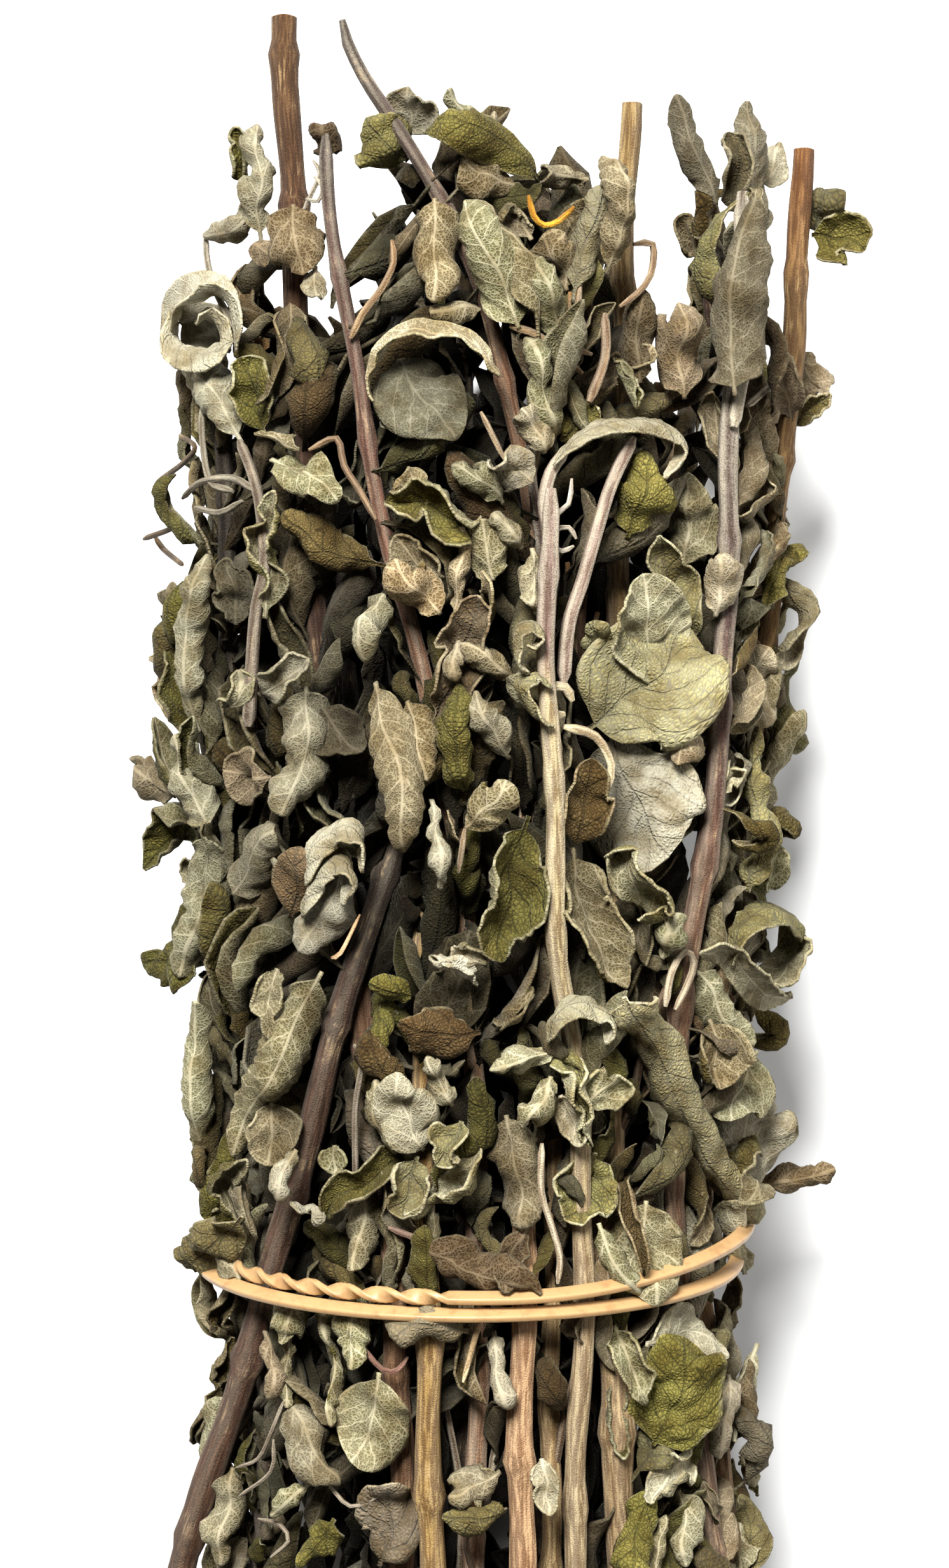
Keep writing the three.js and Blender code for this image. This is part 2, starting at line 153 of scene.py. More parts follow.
class NodeBench:
    # adds nodes to one tree, and links or sets their inputs in the same line
    def __init__(self, tree):
        self.tree = tree

    def put(self, value, socket):
        if isinstance(value, bpy.types.NodeSocket):
            self.tree.links.new(value, socket)
        else:
            socket.default_value = value

    def add(self, kind, inputs=None, **settings):
        node = self.tree.nodes.new(kind)
        for key, value in settings.items():
            setattr(node, key, value)
        for key, value in (inputs or {}).items():
            self.put(value, node.inputs[key])
        return node

    def math(self, operation, a, b=0.0, clamp=False):
        return self.add("ShaderNodeMath", {0: a, 1: b}, operation=operation, use_clamp=clamp).outputs[0]

    def times(self, a, b, clamp=False):
        return self.math("MULTIPLY", a, b, clamp)

    def plus(self, a, b):
        return self.math("ADD", a, b)

    def vector(self, operation, a, b):
        return self.add("ShaderNodeVectorMath", {0: a, 1: b}, operation=operation).outputs[0]

    def scaled(self, vector, scale):
        return self.add("ShaderNodeVectorMath", {0: vector, "Scale": scale}, operation="SCALE").outputs[0]

    def split(self, vector):
        return self.add("ShaderNodeSeparateXYZ", {0: vector}).outputs

    def join(self, x, y, z):
        return self.add("ShaderNodeCombineXYZ", {0: x, 1: y, 2: z}).outputs[0]

    def ramp(self, value, low, high, start=0.0, end=1.0):
        inputs = {"Value": value, "From Min": low, "From Max": high, "To Min": start, "To Max": end}
        return self.add("ShaderNodeMapRange", inputs, interpolation_type="SMOOTHSTEP").outputs["Result"]

    def mix(self, factor, a, b, blend="MIX"):
        inputs = {0: factor, 6: a, 7: b}
        return self.add("ShaderNodeMix", inputs, data_type="RGBA", blend_type=blend).outputs[2]

    def noise(self, vector, scale, detail=3.0, rough=0.5, output="Fac"):
        inputs = {"Vector": vector, "Scale": scale, "Detail": detail, "Roughness": rough}
        return self.add("ShaderNodeTexNoise", inputs).outputs[output]

    def attribute(self, name, output="Fac"):
        return self.add("ShaderNodeAttribute", attribute_name=name).outputs[output]

    def bump(self, shader, height, strength, distance):
        inputs = {"Height": height, "Strength": strength, "Distance": distance * mm}
        self.put(self.add("ShaderNodeBump", inputs).outputs["Normal"], shader.inputs["Normal"])

    def named(self, name, kind):
        node = self.add("GeometryNodeInputNamedAttribute", {"Name": name}, data_type=kind)
        return next(o for o in node.outputs if o.enabled and o.name == "Attribute")

    def store(self, geometry, name, value, kind):
        inputs = {"Geometry": geometry, "Name": name}
        node = self.add("GeometryNodeStoreNamedAttribute", inputs, data_type=kind, domain="POINT")
        self.put(value, next(i for i in node.inputs if i.enabled and i.name == "Value"))
        return node.outputs["Geometry"]

    def painted(self, geometry, material, **others):
        inputs = {"Geometry": geometry, "Material": material, **others}
        return self.add("GeometryNodeSetMaterial", inputs).outputs[0]


def openTree(name, kind, inputs, outputs):
    # a new node tree: the tree, its bench, the sockets that it is given and the sockets that it fills
    tree = bpy.data.node_groups.new(name, kind)
    for label, socketKind, value in inputs:
        socket = tree.interface.new_socket(label, in_out="INPUT", socket_type=f"NodeSocket{socketKind}")
        if value is not None:
            socket.default_value = value
    for label, socketKind in outputs:
        tree.interface.new_socket(label, in_out="OUTPUT", socket_type=f"NodeSocket{socketKind}")
    bench = NodeBench(tree)
    return tree, bench, bench.add("NodeGroupInput").outputs, bench.add("NodeGroupOutput").inputs


def bakeNodes(name, mesh, tree, values):
    # runs a node tree on a mesh, and gives back what it makes as a plain mesh
    carrier = bpy.data.objects.new(name, mesh)
    scene.collection.objects.link(carrier)
    modifier = carrier.modifiers.new("nodes", "NODES")
    modifier.node_group = tree
    for item in tree.interface.items_tree:
        if item.item_type == "SOCKET" and item.in_out == "INPUT" and item.name in values:
            modifier[item.identifier] = values[item.name]
    graph = bpy.context.evaluated_depsgraph_get()
    made = bpy.data.meshes.new_from_object(carrier.evaluated_get(graph), depsgraph=graph)
    made.name = name
    bpy.data.objects.remove(carrier)
    return made


def newMaterial(name, roughness, specular, sheen=0.0, sheenTint=(1, 1, 1)):
    material = bpy.data.materials.new(name)
    material.use_nodes = True
    shader = material.node_tree.nodes["Principled BSDF"]
    shader.inputs["Roughness"].default_value = roughness
    shader.inputs["Specular IOR Level"].default_value = specular
    shader.inputs["Sheen Weight"].default_value = sheen
    shader.inputs["Sheen Roughness"].default_value = 0.45
    shader.inputs["Sheen Tint"].default_value = (*sheenTint, 1)
    return material, NodeBench(material.node_tree), shader


# leaves: the blade's thickness, what the rim adds to it, the half widths of the stalk and of the tip, the
# distance between side veins and how steeply they rise
blade = {"thick": 0.34, "rim": 0.06, "stalkHalf": 0.34, "tipHalf": 0.3, "veinGap": 3.4, "veinRise": 1.05}
# the two darkest colours below, a green and a brown, are painted shade for the furrows and sunk veins of the
# upper side
leafColours = {
    "cell": srgb(100, 96, 62), "brownCell": srgb(104, 80, 52), "net": srgb(152, 147, 116),
    "brownNet": srgb(160, 136, 102), "vein": srgb(182, 174, 144), "brownVein": srgb(178, 156, 122),
    "furrowShade": srgb(48, 46, 20), "bump": srgb(104, 98, 46), "yellow": srgb(138, 128, 66),
    "brownFurrowShade": srgb(48, 36, 22), "brown": srgb(112, 88, 56),
    "felt": srgb(182, 176, 158), "rim": srgb(184, 174, 138), "stain": (0.54, 0.48, 0.38, 1),
}


def makeVeinGroup():
    # UV is in mm: across from the midrib, and along it
    inputs = [("UV", "Vector", (0, 0, 0)), ("Net Size", "Float", 0.44), ("Gap", "Float", blade["veinGap"])]
    outputs = [("Veins", "Float"), ("Net", "Float")]
    group, b, given, filled = openTree("leafVeins", "ShaderNodeTree", inputs, outputs)
    wobble = b.vector("SUBTRACT", b.noise(given["UV"], 0.35, 2.0, output="Color"), (0.5, 0.5, 0.5))
    bent = b.vector("ADD", given["UV"], b.scaled(wobble, 1.6))
    place = b.split(bent)
    midrib = b.ramp(b.math("ABSOLUTE", b.split(given["UV"])["X"]), 0.34, 0.1)
    climb = b.math("SUBTRACT", place["Y"], b.times(b.math("ABSOLUTE", place["X"]), blade["veinRise"]))
    phase = b.math("DIVIDE", climb, given["Gap"])
    away = b.math("ABSOLUTE", b.math("SUBTRACT", b.math("FRACT", phase), 0.5))
    lateral = b.ramp(b.times(away, given["Gap"]), 0.26, 0.06)
    cellInputs = {"Vector": bent, "Scale": b.math("DIVIDE", 1.0, given["Net Size"]), "Randomness": 0.95}
    cells = b.add("ShaderNodeTexVoronoi", cellInputs, feature="DISTANCE_TO_EDGE")
    b.put(b.math("MAXIMUM", midrib, b.times(lateral, 0.85)), filled["Veins"])
    b.put(b.ramp(cells.outputs["Distance"], 0.24, 0.03), filled["Net"])
    return group


def makePebbleGroup():
    # the upper side is pebbled: bumps with furrows between them, and each bump has a shade of its own; the
    # upper material darkens the furrows that Furrow marks, which is painted shade
    inputs = [("UV", "Vector", (0, 0, 0)), ("Size", "Float", 0.55)]
    outputs = [("Height", "Float"), ("Furrow", "Float"), ("Patch", "Float")]
    group, b, given, filled = openTree("leafPebbles", "ShaderNodeTree", inputs, outputs)
    cellInputs = {"Vector": given["UV"], "Scale": b.math("DIVIDE", 1.0, given["Size"])}
    edge = b.add("ShaderNodeTexVoronoi", cellInputs, feature="DISTANCE_TO_EDGE").outputs["Distance"]
    shade = b.add("ShaderNodeTexVoronoi", cellInputs, feature="F1").outputs["Color"]
    b.put(b.ramp(edge, 0.0, 0.42), filled["Height"])
    b.put(b.ramp(edge, 0.13, 0.0), filled["Furrow"])
    b.put(b.split(shade)["X"], filled["Patch"])
    return group


def makeFinishGroup():
    # felt hides the colour of woolly leaves, the toothed rim is pale, and each leaf is lighter or darker by
    # its light, which is partly its own paleness and partly painted light and shade
    inputs = [
        ("Colour", "Color", (0, 0, 0, 1)), ("Place", "Vector", (0, 0, 0)), ("UV", "Vector", (0, 0, 0)),
        ("Wool", "Float", 0.0), ("Rim", "Float", 0.0), ("Light", "Float", 1.0),
    ]
    outputs = [("Colour", "Color"), ("Tooth", "Float")]
    group, b, given, filled = openTree("leafFinish", "ShaderNodeTree", inputs, outputs)
    down = b.ramp(b.noise(given["Place"], 2600.0, 2.0), 0.25, 0.7, 0.7, 1.0)
    felted = b.mix(b.times(given["Wool"], down, clamp=True), given["Colour"], leafColours["felt"])
    teeth = b.math("SINE", b.times(b.split(given["UV"])["Y"], 8.2))
    tooth = b.times(b.ramp(given["Rim"], 0.86, 0.97), b.ramp(teeth, -0.8, 0.8, 0.78, 1.0))
    worn = b.ramp(b.noise(given["Place"], 300.0, 2.0), 0.35, 0.65, 0.1, 0.5)
    edged = b.mix(b.times(tooth, worn), felted, leafColours["rim"])
    stain = b.ramp(b.noise(given["Place"], 190.0, 4.0, 0.6), 0.38, 0.68)
    stained = b.mix(stain, edged, leafColours["stain"], "MULTIPLY")
    b.put(b.scaled(stained, given["Light"]), filled["Colour"])
    b.put(tooth, filled["Tooth"])
    return group


veinGroup = makeVeinGroup()
pebbleGroup = makePebbleGroup()
finishGroup = makeFinishGroup()


def finishLeaf(b, shader, colour, uv, woolShare):
    inputs = {
        "Colour": colour, "Place": b.add("ShaderNodeTexCoord").outputs["Object"], "UV": uv,
        "Wool": b.times(b.attribute("wool"), woolShare), "Rim": b.attribute("rim"),
        "Light": b.attribute("light"),
    }
    finish = b.add("ShaderNodeGroup", inputs, node_tree=finishGroup)
    b.put(finish.outputs["Colour"], shader.inputs["Base Color"])
    return finish.outputs["Tooth"]


def makeUnderMaterial():
    material, b, shader = newMaterial("leafUnderside", 0.9, 0.1, 0.06, (0.95, 0.88, 0.7))
    uv = b.add("ShaderNodeUVMap", uv_map="leafUV").outputs["UV"]
    veins = b.add("ShaderNodeGroup", {"UV": uv}, node_tree=veinGroup).outputs
    tone = b.attribute("tone")
    cell = b.mix(tone, leafColours["cell"], leafColours["brownCell"])
    net = b.mix(tone, leafColours["net"], leafColours["brownNet"])
    vein = b.mix(tone, leafColours["vein"], leafColours["brownVein"])
    grain = b.noise(uv, 3.2)
    # the net fades from its pale lines into the darker cells: the pale felted net is the leaf's own colour,
    # and the darkening towards each cell's middle is partly painted shade
    netted = b.mix(b.times(veins["Net"], b.ramp(grain, 0.3, 0.6, 0.55, 1.0)), cell, net)
    veined = b.mix(b.times(veins["Veins"], 0.7), netted, vein)
    tooth = finishLeaf(b, shader, veined, uv, 0.85)
    raised = b.math("MAXIMUM", veins["Veins"], b.times(veins["Net"], 0.75))
    height = b.plus(b.plus(raised, b.times(grain, 0.5)), b.times(tooth, 0.3))
    b.bump(shader, height, 0.8, 0.2)
    return material


def makeUpperMaterial():
    material, b, shader = newMaterial("leafUpperside", 0.85, 0.1, 0.04, (0.9, 0.86, 0.6))
    uv = b.add("ShaderNodeUVMap", uv_map="leafUV").outputs["UV"]
    veins = b.add("ShaderNodeGroup", {"UV": uv}, node_tree=veinGroup).outputs
    pebbles = b.add("ShaderNodeGroup", {"UV": uv}, node_tree=pebbleGroup).outputs
    tone = b.attribute("tone")
    patch = b.times(b.ramp(b.noise(uv, 0.16), 0.42, 0.68), 0.8)
    lighter = b.math("MAXIMUM", patch, b.times(pebbles["Patch"], 0.3))
    olive = b.mix(lighter, leafColours["bump"], leafColours["yellow"])
    bumps = b.mix(tone, olive, leafColours["brown"])
    # painted shade for the furrows and the sunk veins, mixed by tone between green and brown
    furrowShade = b.mix(tone, leafColours["furrowShade"], leafColours["brownFurrowShade"])
    pebbled = b.mix(b.times(pebbles["Furrow"], 0.9), bumps, furrowShade)
    sunk = b.mix(b.times(veins["Veins"], 0.5), pebbled, furrowShade)
    tooth = finishLeaf(b, shader, sunk, uv, 0.75)
    height = b.math("SUBTRACT", b.times(pebbles["Height"], 0.8), veins["Veins"])
    b.bump(shader, b.plus(height, b.times(tooth, 0.3)), 0.9, 0.24)
    return material


leafUnder = makeUnderMaterial()
leafUpper = makeUpperMaterial()


def makeRodTree():
    # skins a line with a rounded square, from the radius and tilt that its points carry
    inputs = [
        ("Geometry", "Geometry", None), ("Wide", "Float", 1.8), ("High", "Float", 1.8),
        ("Round", "Float", 0.6), ("Corner Steps", "Int", 2), ("Material", "Material", None),
    ]
    tree, b, given, filled = openTree("rodSkin", "GeometryNodeTree", inputs, [("Geometry", "Geometry")])
    curve = b.add("GeometryNodeMeshToCurve", {"Mesh": given["Geometry"]}).outputs[0]
    measured = b.store(curve, "along", b.add("GeometryNodeSplineParameter").outputs["Length"], "FLOAT")
    tilted = b.add("GeometryNodeSetCurveTilt", {"Curve": measured, "Tilt": b.named("tilt", "FLOAT")})
    sides = {"Width": given["Wide"], "Height": given["High"]}
    square = b.add("GeometryNodeCurvePrimitiveQuadrilateral", sides).outputs[0]
    corners = {"Curve": square, "Count": given["Corner Steps"], "Radius": given["Round"]}
    filleted = b.add("GeometryNodeFilletCurve", corners, mode="POLY").outputs[0]
    profile = b.store(filleted, "ring", b.add("GeometryNodeInputPosition").outputs[0], "FLOAT_VECTOR")
    skinInputs = {
        "Curve": tilted.outputs[0], "Profile Curve": profile, "Scale": b.named("radius", "FLOAT"),
        "Fill Caps": True,
    }
    skin = b.add("GeometryNodeCurveToMesh", skinInputs).outputs[0]
    smooth = b.add("GeometryNodeSetShadeSmooth", {"Geometry": skin}).outputs[0]
    b.put(b.painted(smooth, given["Material"]), filled["Geometry"])
    return tree


barkColours = {
    "dark": (0.4, 0.33, 0.28, 1), "pale": srgb(196, 166, 120), "wool": srgb(192, 182, 160),
    "cut": srgb(146, 108, 66),
}


def makeBarkMaterial():
    # the stain is each stem's colour, with painted light below the band and painted shade deep in the
    # bundle, and wool sits on the four ridges of the stem
    material, b, shader = newMaterial("bark", 0.75, 0.15, 0.06, (0.95, 0.9, 0.8))
    ring = b.split(b.attribute("ring", "Vector"))
    length = b.plus(b.attribute("along"), b.attribute("start"))
    x = b.times(ring["X"], b.times(b.attribute("thick"), 1000.0))
    y = b.times(ring["Y"], b.times(b.attribute("thick"), 1000.0))
    grainPlace = b.join(x, y, b.times(length, 1000.0))
    streak = b.noise(b.join(x, y, b.times(length, 90.0)), 1.9, 5.0, 0.6)
    patch = b.noise(grainPlace, 0.22, 3.0, 0.6)
    grain = b.noise(grainPlace, 4.5, 3.0)
    dark = b.mix(b.ramp(streak, 0.36, 0.58), b.attribute("stain", "Color"), barkColours["dark"], "MULTIPLY")
    pale = b.mix(b.ramp(streak, 0.52, 0.36, 0.0, 0.55), dark, barkColours["pale"])
    peeled = b.mix(b.ramp(patch, 0.52, 0.66, 0.0, 0.7), dark, pale)
    xSquared = b.times(ring["X"], ring["X"])
    ySquared = b.times(ring["Y"], ring["Y"])
    total = b.plus(xSquared, ySquared)
    ridge = b.math("DIVIDE", b.times(b.times(xSquared, ySquared), 4.0), b.times(total, total))
    fluff = b.plus(b.times(ridge, 0.45), b.plus(grain, b.times(patch, 0.7)))
    down = b.times(b.ramp(fluff, 0.75, 1.45, 0.05, 1.0), b.attribute("wool"))
    woolly = b.mix(b.math("MINIMUM", down, 1.0), peeled, barkColours["wool"])
    b.put(b.mix(b.attribute("cut"), woolly, barkColours["cut"]), shader.inputs["Base Color"])
    b.bump(shader, b.plus(streak, b.times(grain, 0.7)), 0.9, 0.45)
    return material


rodTree = makeRodTree()
bark = makeBarkMaterial()
print("materials made")

# each stem's colour and wool from its foot to its top, as rows of height and value; cutTop is 0 where the
# stem thins out instead of ending in a cut. Below the band, from -40 down, the colours are made lighter than
# the bark is, against the shade there: painted light. The first table is the bark of the stems inside the
# bundle, near black from -30 to 70 where the leaves cover it: painted shade.
shadedInnerBark = [
    (-150, 84, 64, 48), (-60, 56, 42, 32), (-30, 34, 27, 21), (70, 34, 27, 21), (120, 60, 46, 34),
    (150, 74, 56, 42),
]
stemLooks = {
    "stem_tall_cut": {
        "stain": [(-150, 158, 122, 90), (60, 66, 46, 34), (122, 88, 60, 38), (150, 104, 76, 46)],
        "wool": [(0, 0.02)],
    },
    "stem_long_diagonal": {
        "cutTop": 0,
        "stain": [
            (-150, 198, 156, 112), (-40, 198, 160, 120), (60, 126, 94, 64), (100, 112, 78, 54),
            (125, 84, 66, 58), (147, 78, 70, 64),
        ],
        "wool": [(60, 0.1), (120, 0.15), (147, 0.3)],
    },
    "stem_short_diagonal": {
        "cutTop": 0,
        "stain": [
            (-146, 166, 128, 100), (30, 128, 98, 68), (70, 118, 78, 58), (105, 98, 70, 60),
            (131, 72, 62, 58),
        ],
        "wool": [(40, 0.3), (90, 0.15), (131, 0.3)],
    },
    "stem_straw_cut": {"stain": [(-150, 188, 162, 120), (60, 128, 104, 66), (138, 150, 124, 78)]},
    "stem_woolly": {
        "cutTop": 0,
        "stain": [
            (-147, 132, 108, 90), (10, 124, 92, 68), (40, 98, 70, 60), (60, 84, 62, 58), (85, 104, 92, 84),
            (110, 120, 112, 98),
        ],
        "wool": [(0, 0.15), (60, 0.3), (85, 0.55), (124, 0.6)],
    },
    "stem_right_cut": {
        "stain": [(-149, 150, 118, 88), (60, 132, 104, 64), (110, 128, 98, 58), (134, 134, 90, 50)],
        "wool": [(0, 0.04)],
    },
    "stem_silver_sprig": {
        "cutTop": 0,
        "stain": [
            (-150, 184, 166, 126), (-40, 180, 158, 120), (5, 178, 160, 118), (48, 186, 168, 126),
            (55, 132, 104, 94), (78, 146, 126, 114),
        ],
        "wool": [(-40, 0.2), (5, 0.35), (50, 0.45), (62, 0.6), (80, 0.7)],
    },
    "stem_dark_crossing": {
        "stain": [
            (-123, 104, 76, 54), (-90, 92, 62, 42), (-40, 88, 60, 44), (-15, 92, 64, 48), (20, 56, 42, 33),
            (105, 36, 28, 24),
        ],
        "wool": [(0, 0.14)],
    },
    "stem_ochre": {
        "stain": [(-150, 176, 146, 90), (-40, 164, 132, 78), (20, 112, 88, 44), (118, 80, 62, 38)],
    },
    "stem_split_pale": {"stain": [(-147, 196, 170, 120), (-40, 184, 156, 108), (112, 90, 72, 52)]},
}
# step and margin are for slicing the solids, wander is a slight sway, swell and uneven are shares of the
# radius, rim is where the edge of a cut end begins, thinning is how long an end thins out and thinEnd what
# is left of it, and square and round are the section of the skin
stemShape = {
    "seed": 21, "step": 2.2, "margin": 1.2, "smooth": 9, "wander": 0.3,
    "firstJoint": (5, 20), "joint": (21, 31), "swell": 0.3, "swellReach": 1.6, "uneven": 0.05,
    "square": 1.78, "round": 0.55, "rim": 0.04, "thinning": 5, "thinEnd": 0.55,
}
stemRng = random.Random(stemShape["seed"])
paths = {}  # for each stem: rows of x, y, z and radius
joints = {}  # for each stem: the heights of its joints


def smoothed(values, width):
    first = np.repeat(values[:1], width, axis=0)
    last = np.repeat(values[-1:], width, axis=0)
    padded = np.concatenate([first, values, last])
    kernel = np.ones(2 * width + 1) / (2 * width + 1)
    return np.stack([np.convolve(padded[:, k], kernel, "valid") for k in range(values.shape[1])], axis=1)


def stemPath(node):
    # slices the rod across its length, takes the middle and radius of each slice, and eases the corners
    mesh = frame["nodes"][node].data
    corners = np.array([v.co for v in mesh.vertices]) / mm
    edges = np.array([e.vertices for e in mesh.edges])
    a = corners[edges[:, 0]]
    b = corners[edges[:, 1]]
    low = corners[:, 1].min()
    high = corners[:, 1].max()
    margin = stemShape["margin"]
    slices = []
    for y in np.linspace(low + margin, high - margin, int((high - low) / stemShape["step"])):
        cut = (a[:, 1] - y) * (b[:, 1] - y) < 0
        t = (y - a[cut, 1]) / (b[cut, 1] - a[cut, 1])
        points = a[cut] + (b[cut] - a[cut]) * t[:, None]
        least = points.min(axis=0)
        most = points.max(axis=0)
        slices.append((*((least + most) / 2), (most[2] - least[2]) / 2))
    path = smoothed(np.array(slices), stemShape["smooth"] // 2)
    path[:, 1] = np.array(slices)[:, 1]
    phase = stemRng.uniform(0, 6.28)
    path[:, 0] += stemShape["wander"] * np.sin(path[:, 1] / 6.1 + phase)
    path[:, 2] += stemShape["wander"] * np.sin(path[:, 1] / 5.3 + 2 * phase)
    path[0, 1] = low
    path[-1, 1] = high
    return path


def jointHeights(path):
    y = path[0, 1] + stemRng.uniform(*stemShape["firstJoint"])
    found = []
    while y < path[-1, 1] - 3:
        found.append(y)
        y += stemRng.uniform(*stemShape["joint"])
    return found


def stemAt(name, y):
    path = paths[name]
    return np.array([np.interp(y, path[:, 1], path[:, 0]), y, np.interp(y, path[:, 1], path[:, 2])])


def valuesAlong(table, heights):
    # reads rows of a height and a colour or a number at these heights
    rows = np.array([srgb(*row[1:]) if len(row) > 2 else row[1:] for row in table])
    given = [row[0] for row in table]
    return np.stack([np.interp(heights, given, rows[:, k]) for k in range(rows.shape[1])], axis=1)


class Rods:
    # gathers lines with what each of their points carries, and skins them all as one mesh
    def __init__(self):
        self.points = []
        self.edges = []
        self.values = {key: [] for key in ("radius", "tilt", "wool", "cut", "start", "thick")}
        self.stains = []

    def add(self, line, radii, stains, wool=0.0, tilt=0.0, cuts=(0, 0), start=0.0, closed=False):
        first = len(self.points)
        count = len(line)
        self.points += [tuple(np.asarray(p) * mm) for p in line]
        self.edges += [(first + k, first + k + 1) for k in range(count - 1)]
        if closed:
            self.edges.append((first + count - 1, first))
        cut = np.zeros(count)
        cut[0] = cuts[0]
        cut[-1] = cuts[1]
        radius = np.asarray(radii) * mm
        carried = {"radius": radius, "tilt": tilt, "wool": wool, "cut": cut, "start": start, "thick": radius}
        for key, value in carried.items():
            self.values[key] += list(np.broadcast_to(value, count))
        self.stains += [tuple(c) for c in np.broadcast_to(stains, (count, 4))]

    def skin(self, name, slotName, replaced, material=bark, **sizes):
        lines = bpy.data.meshes.new(name)
        lines.from_pydata(self.points, self.edges, [])
        for key, value in self.values.items():
            setValues(lines, key, value)
        setValues(lines, "stain", self.stains, "FLOAT_COLOR")
        square = stemShape["square"]
        values = {"Wide": square, "High": square, "Round": stemShape["round"], "Corner Steps": 2, **sizes}
        addPiece(name, bakeNodes(name, lines, rodTree, {**values, "Material": material}), replaced)


def swellings(heights, swollen, reach):
    # 1 at each joint, and nothing further from it
    return sum(np.exp(-(((heights - y) / reach) ** 2)) for y in swollen)


def makeStem(node):
    path = paths[node]
    ends = [between(path[0], path[1], stemShape["rim"]), between(path[-1], path[-2], stemShape["rim"])]
    path = np.insert(path, [1, len(path) - 1], ends, axis=0)
    look = {"stain": shadedInnerBark, "wool": [(0, 0.12)], "cutTop": 1, **stemLooks.get(node, {})}
    heights = path[:, 1]
    swell = swellings(heights, joints[node], stemShape["swellReach"])
    uneven = 1 + stemShape["uneven"] * np.sin(heights / 3.1 + stemRng.uniform(0, 6))
    radii = path[:, 3] * (1 + stemShape["swell"] * swell) * uneven
    tilt = stemRng.uniform(0, 0.8) + heights * stemRng.uniform(-0.006, 0.006)
    if not look["cutTop"]:
        radii = radii * np.clip((heights[-1] - heights) / stemShape["thinning"] + stemShape["thinEnd"], 0, 1)
    wool = valuesAlong(look["wool"], heights)[:, 0]
    rods = Rods()
    # the stem's colour along its length, with the painted light and shade of its table
    stain = valuesAlong(look["stain"], heights)
    rods.add(path[:, :3], radii, stain, wool, tilt, (1, look["cutTop"]), stemRng.uniform(0, 3))
    rods.skin(f"{node}_bark", slotOf[node], [node])


for node in stemNodes:
    paths[node] = stemPath(node)
    joints[node] = jointHeights(paths[node])
for node in stemNodes:
    makeStem(node)
print("stems made:", len(stemNodes))

# how many columns and rows of faces a leaf has: to place it, to keep others off it, and for each quality
leafGrids = {
    "guide": (2, 12), "proxy": (4, 8),
    "hero": (18, 32), "fine": (12, 20), "middle": (10, 14), "coarse": (6, 10), "inner": (4, 8),
}

# curl is the angle that each margin has turned by the edge: plus is towards the underside, minus over
# the upper side. bend curls the leaf along its length and fold creases it at the midrib, in radians.
leafKinds = {
    "cupped": {
        "curl": (0.9, 1.9), "power": 1.5, "fold": (-0.3, 0.3), "bend": (-1.8, 1.0), "twist": 0.9,
        "width": (0.42, 0.55), "ruffle": 0.2, "crumple": 0.8,
    },
    "rolledUnder": {
        "curl": (1.7, 2.6), "power": 1.0, "fold": (0.0, 0.2), "bend": (-2.2, 0.2), "twist": 0.8,
        "width": (0.5, 0.68), "ruffle": 0.14, "crumple": 0.6,
    },
    "rolledOver": {
        "curl": (-2.7, -1.7), "power": 1.0, "fold": (-0.2, 0.0), "bend": (-0.2, 2.2), "twist": 0.8,
        "width": (0.5, 0.68), "ruffle": 0.14, "crumple": 0.6,
    },
    "folded": {
        "curl": (-1.6, -0.6), "power": 1.2, "fold": (-1.1, -0.6), "bend": (-1.6, 1.8), "twist": 1.2,
        "width": (0.46, 0.6), "ruffle": 0.2, "crumple": 0.8,
    },
    "hooked": {
        "curl": (1.2, 2.4), "power": 1.1, "fold": (0.0, 0.3), "bend": (-4.4, -2.4), "twist": 1.0,
        "width": (0.4, 0.55), "ruffle": 0.16, "crumple": 0.7,
    },
    "ribbon": {
        "curl": (1.0, 2.4), "power": 1.1, "fold": (-0.2, 0.4), "bend": (-2.0, 2.0), "twist": 3.0,
        "width": (0.38, 0.52), "ruffle": 0.18, "crumple": 0.8,
    },
    "scroll": {
        "curl": (-5.4, -3.6), "power": 0.85, "fold": (-0.3, 0.0), "bend": (-0.4, 1.2), "twist": 0.8,
        "width": (0.56, 0.72), "ruffle": 0.06, "crumple": 0.3,
    },
}


def randomLump(rng):
    # how often it repeats for each mm, the way that it runs, where it starts and how strong it is
    return rng.uniform(0.35, 1.5), rng.uniform(0, 3.14), rng.uniform(0, 6.28), rng.uniform(0.5, 1.0)


def randomShape(kindName, length, rng, **changes):
    kind = leafKinds[kindName]
    curl = rng.uniform(*kind["curl"])
    lean = rng.uniform(0.5, 1.0)
    shape = {
        "length": length,
        "width": length * rng.uniform(*kind["width"]),
        "stalk": rng.uniform(0.1, 0.26),
        "full": rng.uniform(0.72, 1.05),
        "blunt": rng.uniform(0.5, 0.72),
        "curl": (curl, curl * lean) if rng.random() < 0.5 else (curl * lean, curl),
        "power": kind["power"],
        "fold": rng.uniform(*kind["fold"]),
        "bend": rng.uniform(*kind["bend"]),
        "bendPower": rng.uniform(1.2, 2.8),
        "yaw": rng.uniform(-0.6, 0.6),
        "twist": rng.uniform(-kind["twist"], kind["twist"]),
        "sway": (rng.uniform(-0.6, 0.6), rng.uniform(-0.4, 0.4), rng.uniform(0.8, 1.9)),
        "ruffle": rng.uniform(0.3, 1.0) * kind["ruffle"],
        "waves": rng.uniform(1.0, 2.4),
        "phase": rng.uniform(0, 6.28),
        "dome": rng.uniform(0.14, 0.28),
        "lumps": [randomLump(rng) for _ in range(7)],
        "crumple": rng.uniform(0.6, 1.2) * kind["crumple"],
    }
    return {**shape, **changes}


def unit(vectors):
    return vectors / np.maximum(np.linalg.norm(vectors, axis=-1, keepdims=True), 1e-9)


